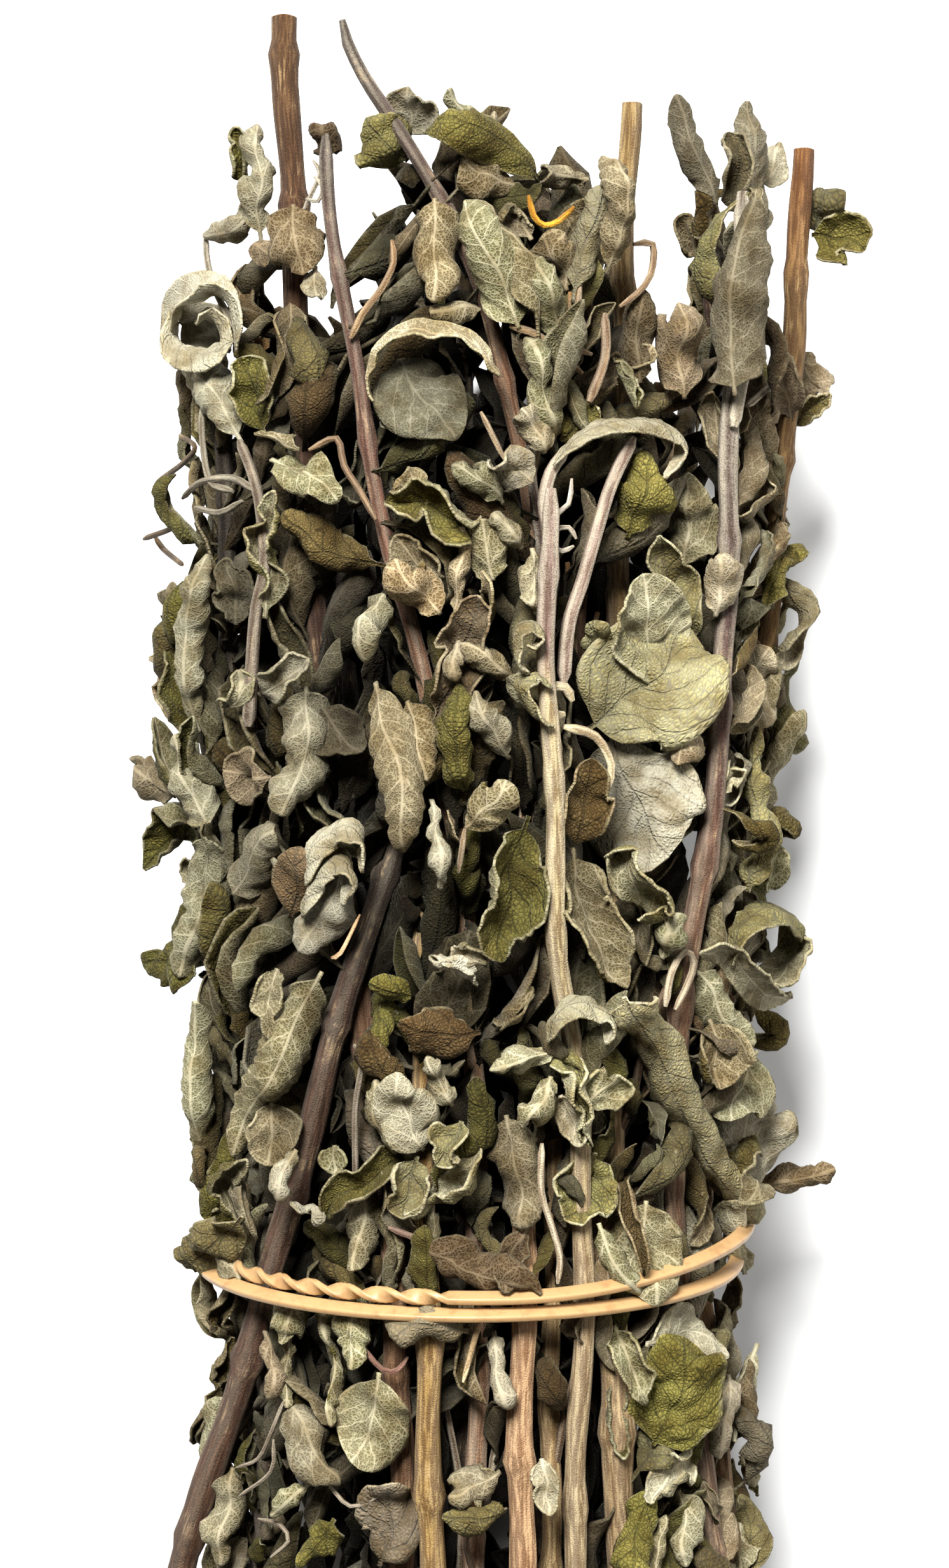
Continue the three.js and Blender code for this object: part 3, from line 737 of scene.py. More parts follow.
def gridNormals(grid):
    return unit(np.cross(np.gradient(grid, axis=1), np.gradient(grid, axis=0)))


def gridFaces(rows, columns):
    i, j = np.meshgrid(np.arange(rows - 1), np.arange(columns - 1), indexing="ij")
    a = (i * columns + j).ravel()
    return np.stack([a, a + 1, a + 1 + columns, a + columns], axis=1)


def leafSection(s, wide, strength, t, side, columns):
    # one half of the leaf across its midrib: how far each column is to the side, and how far up
    share = (np.arange(columns) + 0.5) / columns
    curl = s["curl"][0] if side < 0 else s["curl"][1]
    wave = np.sin(2 * np.pi * s["waves"] * t + s["phase"] + side * 1.3)[:, None]
    angle = s["fold"] * np.minimum(1, strength * 1.5) + curl * strength * share ** s["power"]
    angle = angle + s["ruffle"] * wave * share**2 * 2 * strength
    part = wide[:, None] / columns
    return np.cumsum(np.cos(angle) * part, axis=1), -np.cumsum(np.sin(angle) * part, axis=1)


def leafSurface(s, across, lengthwise):
    # the leaf's middle surface as a grid: rows from the stalk's foot to the tip, columns from edge to edge
    half = s["width"] / 2
    stalk = s["stalk"] * s["length"]
    t = np.linspace(0, 1, lengthwise + 1)
    t = between(t, (1 - np.cos(np.pi * t)) / 2, 0.35)
    y = t * (s["length"] + stalk) - stalk
    u = np.clip(y / s["length"], 0, 1)
    outline = np.sin(np.pi * u ** s["full"]) ** s["blunt"]
    wide = np.maximum(half * outline, blade["stalkHalf"])
    wide[-1] = blade["tipHalf"]
    columns = across // 2
    strength = np.minimum(1, wide / half)[:, None] ** 0.4 * np.clip(u * 8, 0, 1)[:, None]
    leftX, leftZ = leafSection(s, wide, strength, t, -1, columns)
    rightX, rightZ = leafSection(s, wide, strength, t, 1, columns)
    zero = np.zeros((lengthwise + 1, 1))
    x = np.hstack([-leftX[:, ::-1], zero, rightX])
    z = np.hstack([leftZ[:, ::-1], zero, rightZ])
    arc = np.linspace(-1, 1, 2 * columns + 1)[None, :] * wide[:, None]
    if "path" in s:
        stations = np.linspace(0, 1, len(s["path"]))
        spine = np.stack([np.interp(t, stations, s["path"][:, k]) for k in range(3)], axis=1)
        tangent = unit(np.gradient(spine, axis=0))
        acrossWay = np.array(s["across"])
        sideways = unit(acrossWay - tangent * (tangent @ acrossWay)[:, None])
    else:
        swayUp, swaySide, swayTurns = s["sway"]
        swing = np.sin(2 * np.pi * swayTurns * u + s["phase"]) * np.minimum(1, u * 4)
        pitch = s["bend"] * u ** s["bendPower"] + swayUp * swing
        yaw = s["yaw"] * (u - 0.3) + swaySide * swing
        tangent = np.stack([np.sin(yaw) * np.cos(pitch), np.cos(yaw) * np.cos(pitch), np.sin(pitch)], axis=1)
        sideways = np.stack([np.cos(yaw), -np.sin(yaw), np.zeros_like(yaw)], axis=1)
        steps = (tangent[1:] + tangent[:-1]) / 2 * np.diff(y)[:, None]
        spine = np.vstack([np.zeros(3), np.cumsum(steps, axis=0)])
    upwards = np.cross(sideways, tangent)
    twist = s["twist"] * (u - 0.4)[:, None]
    turnedSide = sideways * np.cos(twist) + upwards * np.sin(twist)
    turnedUp = upwards * np.cos(twist) - sideways * np.sin(twist)
    grid = spine[:, None, :] + turnedSide[:, None, :] * x[..., None] + turnedUp[:, None, :] * z[..., None]
    up = np.repeat(y[:, None], 2 * columns + 1, axis=1)
    # domes between the side veins, and crumples across them
    domes = np.cos(2 * np.pi * (up - np.abs(arc) * blade["veinRise"]) / blade["veinGap"])
    lift = s["dome"] * domes * np.minimum(1, np.abs(arc) / 1.5)
    for often, way, phase, size in s["lumps"]:
        place = arc * math.cos(way) + up * math.sin(way)
        wave = np.sin(place * often + phase)
        crease = 1.3 - 2.2 * np.abs(np.sin(place * often / 2 + phase))
        lift = lift + s["crumple"] * size * 0.5 / max(often, 0.75) * (crease if size > 0.8 else wave)
    inner = np.minimum(1, outline[:, None] * 1.5)
    grid = grid + gridNormals(grid) * (lift * inner)[..., None]
    return grid, arc, up


def leafMesh(name, shape, across, lengthwise):
    # gives the middle surface a thickness, with the underside marked for its own material
    grid, arc, up = leafSurface(shape, across, lengthwise)
    rows, columns = grid.shape[:2]
    count = rows * columns
    share = np.abs(np.linspace(-1, 1, columns))[None, :] * np.ones((rows, 1))
    share[-1, :] = 1.0
    offset = gridNormals(grid) * ((blade["thick"] + blade["rim"] * share**5) / 2)[..., None]
    corners = np.vstack([(grid + offset).reshape(-1, 3), (grid - offset).reshape(-1, 3)]) * mm
    top = gridFaces(rows, columns)
    bottom = top[:, ::-1] + count
    border = np.concatenate([
        np.arange(columns),
        np.arange(1, rows) * columns + columns - 1,
        (rows - 1) * columns + np.arange(columns - 2, -1, -1),
        np.arange(rows - 2, 0, -1) * columns,
    ])
    after = np.roll(border, -1)
    edge = np.stack([border, border + count, after + count, after], axis=1)
    mesh = bpy.data.meshes.new(name)
    mesh.from_pydata(corners.tolist(), [], np.vstack([top, bottom, edge]).tolist())
    mesh.materials.append(leafUpper)
    mesh.materials.append(leafUnder)
    under = np.concatenate([np.zeros(len(top)), np.ones(len(bottom) + len(edge))])
    setValues(mesh, "under", under, "BOOLEAN", "FACE")
    setValues(mesh, "rim", np.tile(share.ravel(), 2))
    uv = np.stack([np.tile(arc.ravel(), 2), np.tile(up.ravel(), 2)], axis=1)
    layer = mesh.uv_layers.new(name="leafUV")
    loops = np.empty(len(mesh.loops), dtype=np.int32)
    mesh.loops.foreach_get("vertex_index", loops)
    layer.data.foreach_set("uv", uv[loops].astype(np.float32).ravel())
    mesh.shade_smooth()
    return mesh


def axesOf(forward, up):
    # a turn that points y forwards and z up, as nearly as a right angle between them lets it
    y = forward.normalized()
    z = (up - y * up.dot(y)).normalized()
    return Matrix((y.cross(z), y, z)).transposed()


def placing(shape, base, way, facing, roll, scale):
    # lays a leaf's foot on base with its tip towards base + way, and its upper side towards facing
    grid = leafSurface(shape, *leafGrids["guide"])[0]
    chord = Vector(grid[-1, 1] - grid[0, 1])
    own = axesOf(chord, Vector(gridNormals(grid)[leafGrids["guide"][1] // 2, 1]))
    turn = Matrix.Rotation(roll, 3, way.normalized()) @ axesOf(way, Vector(facing)) @ own.transposed()
    place = Vector(base) - turn @ (Vector(grid[0, 1]) * scale)
    return Matrix.Translation(place) @ (turn * scale).to_4x4(), turn, place


# the leafy outside: half its width, half its depth and the height of its middle, for each y, and the y that
# its tips reach, for each x
envelope = {
    "y": (-150, -110, -90, -60, -40, -30, -5, 30, 60, 100, 135),
    "half": (30, 38, 43, 43, 41, 42.5, 47, 48.5, 48, 47.5, 46),
    "deep": (24, 30, 34, 34.5, 33, 34, 38, 39, 39, 38.5, 36),
    "middle": (34, 35, 35.5, 36.5, 38, 38, 38.5, 39, 39, 38.5, 40),
    "crownX": (-56, -50, -46, -40, -30, -22, -17, -10, 0, 8, 16, 22, 27, 31, 34, 40, 44, 47, 50, 56, 60),
    "crownY": (
        70, 92, 100, 110, 114, 108, 120, 138, 138, 132, 128, 120, 94, 96, 124, 136, 124, 106, 106, 120, 100,
    ),
}


def section(y):
    return tuple(np.interp(y, envelope["y"], envelope[key]) for key in ("half", "deep", "middle"))


def outness(x, y, z):
    # 0 in the middle of the bundle and 1 at its leafy outside
    half, deep, middle = section(y)
    return np.sqrt((x / half) ** 2 + ((z - middle) / deep) ** 2)


def outwards(p):
    half, deep, middle = section(p[1])
    way = Vector((p[0] / half**2, 0, (p[2] - middle) / deep**2))
    return way.normalized() if way.length > 1e-9 else Vector((0, 0, 1))


def crownAt(x):
    return np.interp(x, envelope["crownX"], envelope["crownY"])


def seenAt(seenX, seenY, rise):
    # the point that the camera sees at x, y of the plane through the middle, rise above the leafy outside;
    # it starts near the top of the bundle, and three rounds settle it
    z = 75.0
    for _ in range(3):
        nearer = (view["above"] + view["middle"] - z) / view["above"]
        x = view["x"] + (seenX - view["x"]) * nearer
        y = view["y"] + (seenY - view["y"]) * nearer
        half, deep, middle = section(y)
        z = middle + deep * math.sqrt(max(0, 1 - (x / half) ** 2)) + rise
    return Vector((x, y, z))


def ringFaces(ring, sides):
    # the faces between a ring of corners and the ring before it
    o = (ring - 1) * sides
    return [(o + s, o + (s + 1) % sides, o + sides + (s + 1) % sides, o + sides + s) for s in range(sides)]


class Crowd:
    # what is already in place, so that a new leaf can keep clear of it
    def __init__(self):
        self.trees = []
        self.low = np.empty((0, 3))
        self.high = np.empty((0, 3))

    def add(self, corners, faces):
        c = np.array(corners)
        self.trees.append(BVHTree.FromPolygons(corners, faces))
        self.low = np.vstack([self.low, c.min(axis=0)])
        self.high = np.vstack([self.high, c.max(axis=0)])

    def addTube(self, points, radii, sides=5):
        corners = []
        faces = []
        for k, (p, r) in enumerate(zip(points, radii)):
            for s in range(sides):
                a = 2 * math.pi * s / sides
                corners.append(Vector((p[0] + r * math.cos(a), p[1], p[2] + r * math.sin(a))))
            if k:
                faces += ringFaces(k, sides)
        self.add(corners, faces)

    def addRod(self, path, every=7):
        # a long rod goes in as short tubes, so that their boxes are small
        for k in range(0, len(path) - 1, every):
            part = path[k:k + every + 1]
            self.addTube(part[:, :3], part[:, 3] * 0.9)

    def touching(self, corners, faces, enough):
        c = np.array(corners)
        near = np.all((self.low < c.max(axis=0)) & (self.high > c.min(axis=0)), axis=1)
        tree = BVHTree.FromPolygons(corners, faces)
        total = 0
        for i in np.flatnonzero(near):
            total += len(self.trees[i].overlap(tree))
            if total > enough:
                break
        return total


def leafProxy(matrix, shape):
    # a coarse stand-in for a placed leaf, without the stalk's foot, which is in its stem
    grid = leafSurface(shape, *leafGrids["proxy"])[0]
    rows, columns = grid.shape[:2]
    corners = [matrix @ Vector(p) for p in grid.reshape(-1, 3)]
    return corners, gridFaces(rows, columns)[columns - 1:].tolist()


crowd = Crowd()
for node in stemNodes:
    crowd.addRod(paths[node])

# the rubber band: strand is half its strand's thickness, spacing parts its two turns, fan parts them more
# at the right, and it is twisted like a rope between the angles twistFrom and twistTo, at the upper left;
# pieces is how many short lengths keep the leaves off it
band = {
    "halfWidth": 38.8, "halfDepth": 31.7, "y": -37.0, "tilt": 0.08, "axis": 38.0,
    "strand": 1.15, "spacing": 1.25, "fan": 5.0, "clear": 0.35, "steps": 620,
    "wide": 2.4, "high": 1.15, "corner": 0.35, "cornerSteps": 3,
    "twistFrom": 1.66, "twistTo": 2.95, "turns": 9,
    "stain": srgb(182, 146, 100), "dust": srgb(150, 106, 66), "pieces": 24, "pieceSteps": 4,
}


def bandPoint(turn):
    half = (turn + math.pi / 2) / 2
    beside = math.sin(half)
    fan = band["fan"] * max(0, math.cos(turn + 0.1)) ** 2 * max(0, beside)
    out = band["strand"] + 2 * band["clear"] + band["spacing"] * (1 + math.cos(half))
    x = (band["halfWidth"] + out) * math.cos(turn)
    z = (band["halfDepth"] + out) * math.sin(turn)
    return Vector((x, band["y"] - band["tilt"] * z + band["spacing"] * beside + fan, band["axis"] + z))


def crowdBand():
    along = Vector((0, band["strand"], 0))
    steps = band["pieceSteps"]
    for k in range(band["pieces"]):
        corners = []
        faces = []
        for i in range(steps + 1):
            p = bandPoint(4 * math.pi * (k * steps + i) / (band["pieces"] * steps))
            out = Vector((p.x, 0, p.z - band["axis"])).normalized() * band["strand"]
            corners += [p + along, p + out, p - along, p - out]
            if i:
                faces += ringFaces(i, 4)
        crowd.add(corners, faces)


def makeBandMaterial():
    material, b, shader = newMaterial("bandRubber", 0.42, 0.4)
    shader.inputs["Subsurface Weight"].default_value = 0.12
    shader.inputs["Subsurface Radius"].default_value = (1.0, 0.6, 0.35)
    shader.inputs["Subsurface Scale"].default_value = 0.8 * mm
    place = b.add("ShaderNodeTexCoord").outputs["Object"]
    dust = b.noise(place, 420.0, 4.0, 0.6)
    colour = b.mix(b.ramp(dust, 0.45, 0.75, 0.0, 0.6), band["stain"], band["dust"])
    b.put(colour, shader.inputs["Base Color"])
    b.bump(shader, b.plus(dust, b.times(b.noise(place, 2400.0, 2.0), 0.4)), 0.35, 0.2)
    return material


def makeBand():
    # one loop that goes twice round the stems
    turns = 4 * math.pi * np.arange(band["steps"]) / band["steps"]
    line = [bandPoint(turn) for turn in turns]
    twist = np.interp(turns, (band["twistFrom"], band["twistTo"]), (0, band["turns"] * math.pi))
    rods = Rods()
    rods.add(line, np.full(len(line), 1.0), band["stain"], tilt=twist, closed=True)
    sizes = {"Wide": band["wide"], "High": band["high"], "Round": band["corner"]}
    sizes["Corner Steps"] = band["cornerSteps"]
    rods.skin("rubberBandLoop", "rubber_band", ["rubber_band"], makeBandMaterial(), **sizes)


crowdBand()
makeBand()
print("band made")

# leaves in given places: the kinds, pale where the underside shows and green where the upper side does
paleRoll = ("rolledOver", "under")
greenRoll = ("rolledOver", "upper")
paleCup = ("cupped", "under")
greenCup = ("cupped", "upper")
paleFold = ("folded", "under")
greenFold = ("folded", "upper")
paleDome = ("rolledUnder", "under")
greenDome = ("rolledUnder", "upper")
paleHook = ("hooked", "under")
greenHook = ("hooked", "upper")
paleRibbon = ("ribbon", "under")
greenRibbon = ("ribbon", "upper")
paleScroll = ("scroll", "under")

# each row: x, y of the stalk's foot and of the tip with how far they rise above the leafy outside, the
# width, the kind, how brown, woolly and light the leaf is, and what else is its own; light is partly the
# leaf's own paleness and partly painted light and shade, low for leaves that lie deep among the others
heroes = [
    # the broad leaf with its turned margin, and the felted fan below it
    ((17, 44, -4), (33.5, 61, -2), 21, greenCup, (0.0, 0.35, 1.5),
     {"curl": (0.3, 0.7), "fold": -0.35, "bend": -0.3, "twist": 0.1, "blunt": 0.5, "full": 0.95,
      "crumple": 0.4}),
    ((31, 52, -0.5), (26.5, 69, 1), 14, paleCup, (0.0, 0.2, 1.2),
     {"curl": (-0.3, 0.9), "bend": -0.6, "twist": 0.1, "blunt": 0.5, "full": 0.9, "crumple": 0.5}),
    ((33.5, 57, -2), (29, 75, -1), 9, greenRoll, (0.1, 0.2, 1.1),
     {"curl": (-1.3, -0.9), "bend": 0.3, "blunt": 0.8, "full": 0.8}),
    ((19.5, 56, -3), (18.5, 61.5, -2), 5, greenCup, (0.0, 0.3, 1.3)),
    ((21, 45, -6), (30.5, 24.5, -2), 19, greenCup, (0.1, 1.0, 1.15),
     {"curl": (0.2, 0.25), "fold": 0.1, "bend": -0.15, "twist": 0.1, "blunt": 0.45, "full": 1.25}),
    # top left
    ((-33.5, 121, -3), (-34.2, 139.5, -3), 10, paleRoll, (0.15, 0.4, 0.84)),
    ((-36, 130, -4), (-37.3, 139.3, -4), 6, greenRoll, (0.0, 0.0, 0.79), {"bend": 0.3}),
    ((-33.5, 127.5, -3), (-42.6, 122.2, -3), 7.5, paleRoll, (0.2, 0.6, 0.75)),
    ((-28.5, 127, 1), (-27, 116, 1), 11, paleCup, (0.75, 0.0, 0.6), {"curl": (-1.5, -1.8), "full": 0.7}),
    ((-25, 117.3, 1), (-24.5, 112.8, 1), 4.5, paleCup, (0.3, 0.5, 0.84), {"curl": (-0.8, -0.8)}),
    ((-35, 120.5, -2), (-31, 119.5, -2), 6, paleRoll, (0.9, 0.2, 0.62)),
    ((-24, 134.5, -3), (-24, 139.5, -3), 9, paleRoll, (1.0, 0.0, 0.26)),
    ((-38.5, 104, -4), (-46.5, 111.5, -4), 10, paleCup, (0.05, 0.9, 0.62), {"curl": (0.5, 0.6)}),
    ((-36.5, 89.5, -3), (-46, 103.5, -4), 11, paleRoll, (0.0, 0.55, 0.97), {"twist": 0.3}),
    ((-33, 91, -4), (-37, 103, -3), 9, greenRoll, (0.0, 0.0, 1.01), {"curl": (-1.3, -1.1), "bend": 0.3}),
    ((-27.5, 88.5, 0), (-34.5, 91, 0), 5, paleRoll, (0.4, 0.1, 0.88)),
    ((-32, 87, 0), (-21.5, 80.3, 0), 7.5, paleCup, (0.0, 0.0, 1.06), {"bend": 0.3, "curl": (-0.5, -0.7)}),
    ((-33, 62, -2), (-31.5, 82, -1), 10, paleRibbon, (0.1, 0.1, 0.97), {"twist": 1.6}),
    # left, above the middle
    ((-43.2, 44, -3), (-42, 72, -2), 9.5, paleRoll, (0.05, 0.35, 0.83), {"twist": 0.4}),
    ((-44, 42.5, -5), (-47, 59, -4), 13, greenRoll, (0.0, 0.0, 0.61), {"curl": (-1.7, -1.4), "bend": 0.4}),
    ((-37.5, 61, -4), (-39, 71.5, -4), 7, paleCup, (0.3, 0.3, 0.36)),
    ((-39.5, 48, -2), (-37, 54, -2), 4, paleCup, (0.1, 0.2, 0.86)),
    ((-44, 62, -6), (-48.5, 67, -7), 6, greenFold, (0.5, 0.0, 0.5)),
    ((-41.5, 29, -2), (-47, 43.5, -3), 10, paleRoll, (0.0, 0.35, 0.83), {"twist": 0.2}),
    ((-44, 29, -4), (-52, 22.5, -5), 10, greenRoll, (0.0, 0.0, 0.68), {"curl": (-1.5, -1.2)}),
    ((-42.5, 28.5, -2), (-46.5, 5.5, -2), 12, paleRoll, (0.0, 0.2, 0.9),
     {"twist": 0.2, "curl": (-1.7, -1.9)}),
    ((-47, 34, -6), (-54, 40, -7), 9, paleFold, (0.6, 0.2, 0.61)),
    ((-44, 6, -4), (-52, 8, -5), 8, greenCup, (0.0, 0.0, 0.65)),
    ((-26.5, 51.5, -2), (-30.5, 31, 0), 14, paleRoll, (0.15, 0.4, 0.79),
     {"curl": (-2.6, -1.9), "twist": 0.3}),
    ((-34, 50, -2), (-26, 55.5, -1), 7, paleCup, (0.2, 0.5, 0.72), {"crumple": 1.2}),
    ((-32, 37, -2), (-39.5, 38, -2), 9, paleCup, (0.85, 0.2, 0.68), {"crumple": 1.0}),
    ((-38, 18.5, -3), (-31.5, 28.5, -1), 12, paleRoll, (0.3, 0.3, 0.68)),
    ((-29, 15, -1), (-27.5, 26, 0), 9, greenCup, (1.0, 0.1, 0.94), {"curl": (0.4, 0.4)}),
    ((-20.5, 24.5, 0), (-27.5, 9.5, 0), 11, paleRoll, (0.2, 0.75, 0.68)),
    ((-24, 48, -4), (-18, 41, -4), 9, paleCup, (0.5, 0.1, 0.36)),
    # middle
    ((-15.5, 52, -1), (-11, 25.5, 0), 9.5, paleRoll, (0.45, 0.1, 0.85), {"twist": 1.2}),
    ((-10.5, 49, 0), (-7.5, 36.5, 0), 9, paleRoll, (0.5, 0.0, 0.89)),
    ((-1.5, 35, -1), (-2.5, 51.5, -1), 11, greenDome, (0.1, 0.0, 0.81)),
    ((5.5, 40, -1), (0.3, 50.5, 0), 6, paleRoll, (0.3, 0.3, 0.81)),
    ((-1.5, 29, 0), (5, 36.5, 1), 7, paleCup, (0.35, 0.0, 0.94), {"curl": (-1.0, -1.3), "bend": 0.5}),
    ((-6.8, 33.5, 0), (-5.5, 19.5, 1), 5.5, paleRoll, (0.15, 0.5, 0.89)),
    ((8.5, 31, -1), (4.5, 8, 0), 15, greenRoll, (0.05, 0.0, 0.81), {"curl": (-1.9, -1.5), "bend": 0.6}),
    ((0.5, 4.5, 0), (-7, 9, 0), 8, paleScroll, (0.0, 1.0, 1.19)),
    ((2, 8, 0), (-3.5, 10.5, 0), 5, paleCup, (0.3, 0.3, 0.85)),
    ((15.5, 26, -2), (24, 4, 0), 14, paleDome, (0.35, 0.0, 0.85), {"curl": (0.9, 1.9), "bend": -0.8}),
    ((16, 26.5, -1), (18.5, 40, 0), 9, greenRoll, (0.8, 0.0, 0.77), {"curl": (-1.2, -1.2)}),
    ((29.5, 8.5, 0), (33, 15.3, 0), 5, paleRoll, (0.0, 0.0, 0.94)),
    ((1, -3, -2), (-12, -1.5, -1), 9, greenDome, (0.95, 0.0, 0.94), {"curl": (0.8, 1.2)}),
    ((-10, 2.5, -1), (-16.5, 4.5, -1), 7, greenDome, (0.0, 0.0, 1.1)),
    ((-15, 1, -2), (-15, -7.5, -1), 6, greenDome, (0.05, 0.0, 0.98)),
    ((3, -2, -2), (9, 4, -2), 7, paleFold, (0.5, 0.0, 0.59)),
    # above the middle
    ((-10.5, 134, -6), (-17, 140.5, -5), 10, greenCup, (0.0, 0.1, 1.03), {"curl": (0.5, 0.7)}),
    ((-10.5, 138, -8), (-10.5, 145.5, -7), 7, paleCup, (0.3, 0.5, 0.69)),
    ((10, 131, -5), (-7.5, 138.5, -2), 10, greenDome, (0.15, 0.0, 0.99), {"curl": (0.8, 1.1)}),
    ((1, 139, -6), (-4, 145.3, -6), 4.5, paleRoll, (0.0, 0.1, 0.77)),
    ((7, 130, -3), (-2, 134, -2), 7, paleCup, (0.6, 0.0, 0.82), {"curl": (-1.2, -1.2)}),
    ((-6.3, 128, 0), (-6.5, 111.7, 0), 11.5, paleRoll, (0.5, 0.0, 0.95), {"twist": 0.2, "bend": 0.5}),
    ((7, 107.5, 1), (-1.5, 127.5, 0), 12.5, paleRoll, (0.0, 0.0, 1.03), {"twist": 0.5}),
    ((14.3, 105.5, -1), (8.5, 119, -1), 9.5, paleRoll, (0.0, 0.0, 0.86)),
    ((14.5, 113.5, -1), (10.5, 122, -1), 7, paleCup, (0.6, 0.0, 0.73), {"curl": (-1.5, -1.2)}),
    ((18, 115.5, -1), (18.8, 128, -1), 9, paleCup, (0.5, 0.0, 0.86), {"curl": (-0.8, -0.6)}),
    ((20.5, 116, -1), (20.2, 134.5, -2), 9.5, paleRoll, (0.5, 0.1, 0.82)),
    ((18, 131, -2), (12, 132, -3), 6, paleFold, (0.45, 0.2, 0.77)),
    ((9, 121.5, 0), (5.5, 126.5, 0), 6, paleHook, (0.6, 0.2, 0.73), {"long": 9}),
    ((-12, 103.5, -3), (-3, 90, -3), 13.5, paleCup, (0.05, 0.35, 0.53),
     {"curl": (-0.3, -0.3), "bend": 0.3, "twist": 0.1, "full": 0.85}),
    ((-10.8, 98, -3), (-14.5, 92, -3), 6, paleCup, (0.2, 0.5, 0.69)),
    ((1, 110.5, -1), (-7, 110, -1), 5, paleRoll, (0.4, 0.1, 0.77)),
    ((12.5, 90, -2), (8, 106, -2), 7, paleRoll, (0.0, 0.0, 0.86)),
    ((11, 88, 1), (7.3, 95, 1), 7, paleRoll, (0.4, 0.3, 0.9)),
    ((22, 103, -2), (25.5, 95, -2), 5, greenFold, (0.0, 0.0, 0.77)),
    ((13.5, 90, -2), (19.5, 95, -2), 8, greenCup, (0.15, 0.0, 0.95)),
    ((2, 76, -1), (-14, 80.5, -1), 13, greenFold, (0.1, 0.0, 0.95), {"bend": -0.4}),
    ((-6, 82, 0), (-12.5, 83.5, 0), 7, paleCup, (0.5, 0.0, 0.99), {"curl": (-0.8, -0.8)}),
    ((4.5, 80, -2), (-3.5, 86, -2), 8.5, paleRoll, (0.05, 0.0, 0.69)),
    ((3, 68, 0), (1.3, 77.7, 0), 9, paleRoll, (0.2, 0.0, 0.95)),
    ((7.5, 73, 0), (2.7, 78.3, 0), 5, paleRoll, (0.2, 0.2, 0.82)),
    ((9.3, 83.5, 1), (3, 85.5, 1), 7, paleCup, (0.35, 0.7, 0.86), {"curl": (-1.2, -1.2)}),
    ((-5.5, 66.5, -1), (-12.5, 75, -1), 9, paleCup, (0.5, 0.1, 0.73)),
    ((-5.3, 62.7, 1), (-12.5, 71.2, 1), 10, paleRoll, (0.75, 0.0, 1.07), {"twist": 0.2}),
    ((-14.2, 65.8, 0), (-17.3, 55.3, 0), 11, paleRoll, (0.05, 0.3, 0.95)),
    ((-3, 63, 0), (-2, 76.5, 0), 6, paleRoll, (0.6, 0.1, 0.95),
     {"curl": (-2.6, -2.6), "twist": 0.1, "bend": 0.1}),
    ((-6.5, 45.5, 0), (0.7, 65.5, 1), 10, greenRibbon, (0.95, 0.2, 0.73),
     {"curl": (-1.6, -1.4), "twist": 1.2}),
    ((6.3, 53, 0), (-2, 58, 0), 9, paleRoll, (0.45, 0.1, 0.9)),
    ((9, 73, 0), (8.7, 64, 1), 7.5, paleRoll, (0.3, 0.2, 1.07)),
    ((10, 47, 1), (7, 53.5, 1), 7, paleFold, (0.15, 0.2, 1.03)),
    ((-2.5, 58.5, 0), (-3, 52.3, 0), 4, paleRoll, (0.5, 0.3, 0.86)),
    # top right
    ((38, 127, -5), (31.5, 144.3, -8), 11, paleRoll, (0.45, 0.3, 0.36),
     {"bend": 0.3, "twist": 0.3, "crumple": 0.3}),
    ((40.5, 126, -6), (39.8, 138.5, -8), 9, greenRoll, (0.45, 0.3, 0.6), {"crumple": 0.3}),
    ((46, 121, -4), (43, 143.5, -8), 11, paleRoll, (0.35, 0.45, 0.58),
     {"bend": 0.2, "twist": 0.2, "crumple": 0.3}),
    ((41, 97, 10), (44.3, 128.3, 9), 17, paleRoll, (0.45, 0.2, 0.46),
     {"bend": 0.2, "twist": 0.2, "curl": (-1.9, -1.9)}),
    ((45.5, 131, -6), (48, 136.8, -7), 5, paleCup, (0.2, 0.6, 0.9)),
    ((35.5, 119, -6), (34, 125.5, -6), 6, paleCup, (0.6, 0.0, 0.45)),
    ((53, 122.3, 4), (61.3, 119.7, 4), 10, greenRoll, (0.1, 0.0, 1.0), {"curl": (-0.9, -0.9), "bend": 0.3}),
    ((53.5, 123, 3), (56.5, 128.8, 3), 7, greenCup, (0.2, 0.2, 0.6)),
    ((50.5, 104, -1), (55.5, 97, -2), 9, paleRoll, (0.8, 0.3, 0.9)),
    ((50, 92, -2), (56, 97.3, -2), 6, greenRoll, (0.3, 0.1, 1.15)),
    ((33, 96.5, -1), (32, 111.5, -2), 14, paleRoll, (0.85, 0.2, 0.75), {"bend": 0.9}),
    ((26, 99, -2), (26.5, 113.8, -3), 11, paleRoll, (0.7, 0.0, 0.4)),
    ((45.5, 63, -2), (49.5, 72, -2), 7, greenCup, (0.15, 0.0, 1.2), {"ruffle": 0.6}),
    ((24, 74.5, -3), (27.5, 88, -3), 13, greenDome, (0.1, 0.0, 1.3)),
    ((32.5, 70, -4), (33, 84.5, -4), 10, paleCup, (0.15, 0.1, 0.85), {"curl": (-0.4, -0.5)}),
    ((37.8, 62.3, 2), (38.5, 71.8, 2), 8, paleRoll, (0.55, 0.5, 1.05)),
    ((34.5, 51.5, 0), (32, 39, 0), 12, paleRoll, (0.7, 0.25, 0.95)),
    ((42, 45.5, -1), (46.5, 57.5, -2), 10, paleCup, (0.55, 0.3, 1.05), {"curl": (-1.0, -1.2)}),
    # right side
    ((43, 19, -2), (44.5, 45, -2), 7, greenDome, (0.1, 0.2, 1.3), {"bend": -0.3, "twist": 0.2}),
    ((46, 19, -3), (47.8, 27, -3), 6, paleCup, (0.0, 0.0, 1.1)),
    ((46.5, 36, -4), (48.8, 41.5, -5), 5, paleFold, (0.3, 0.0, 0.9)),
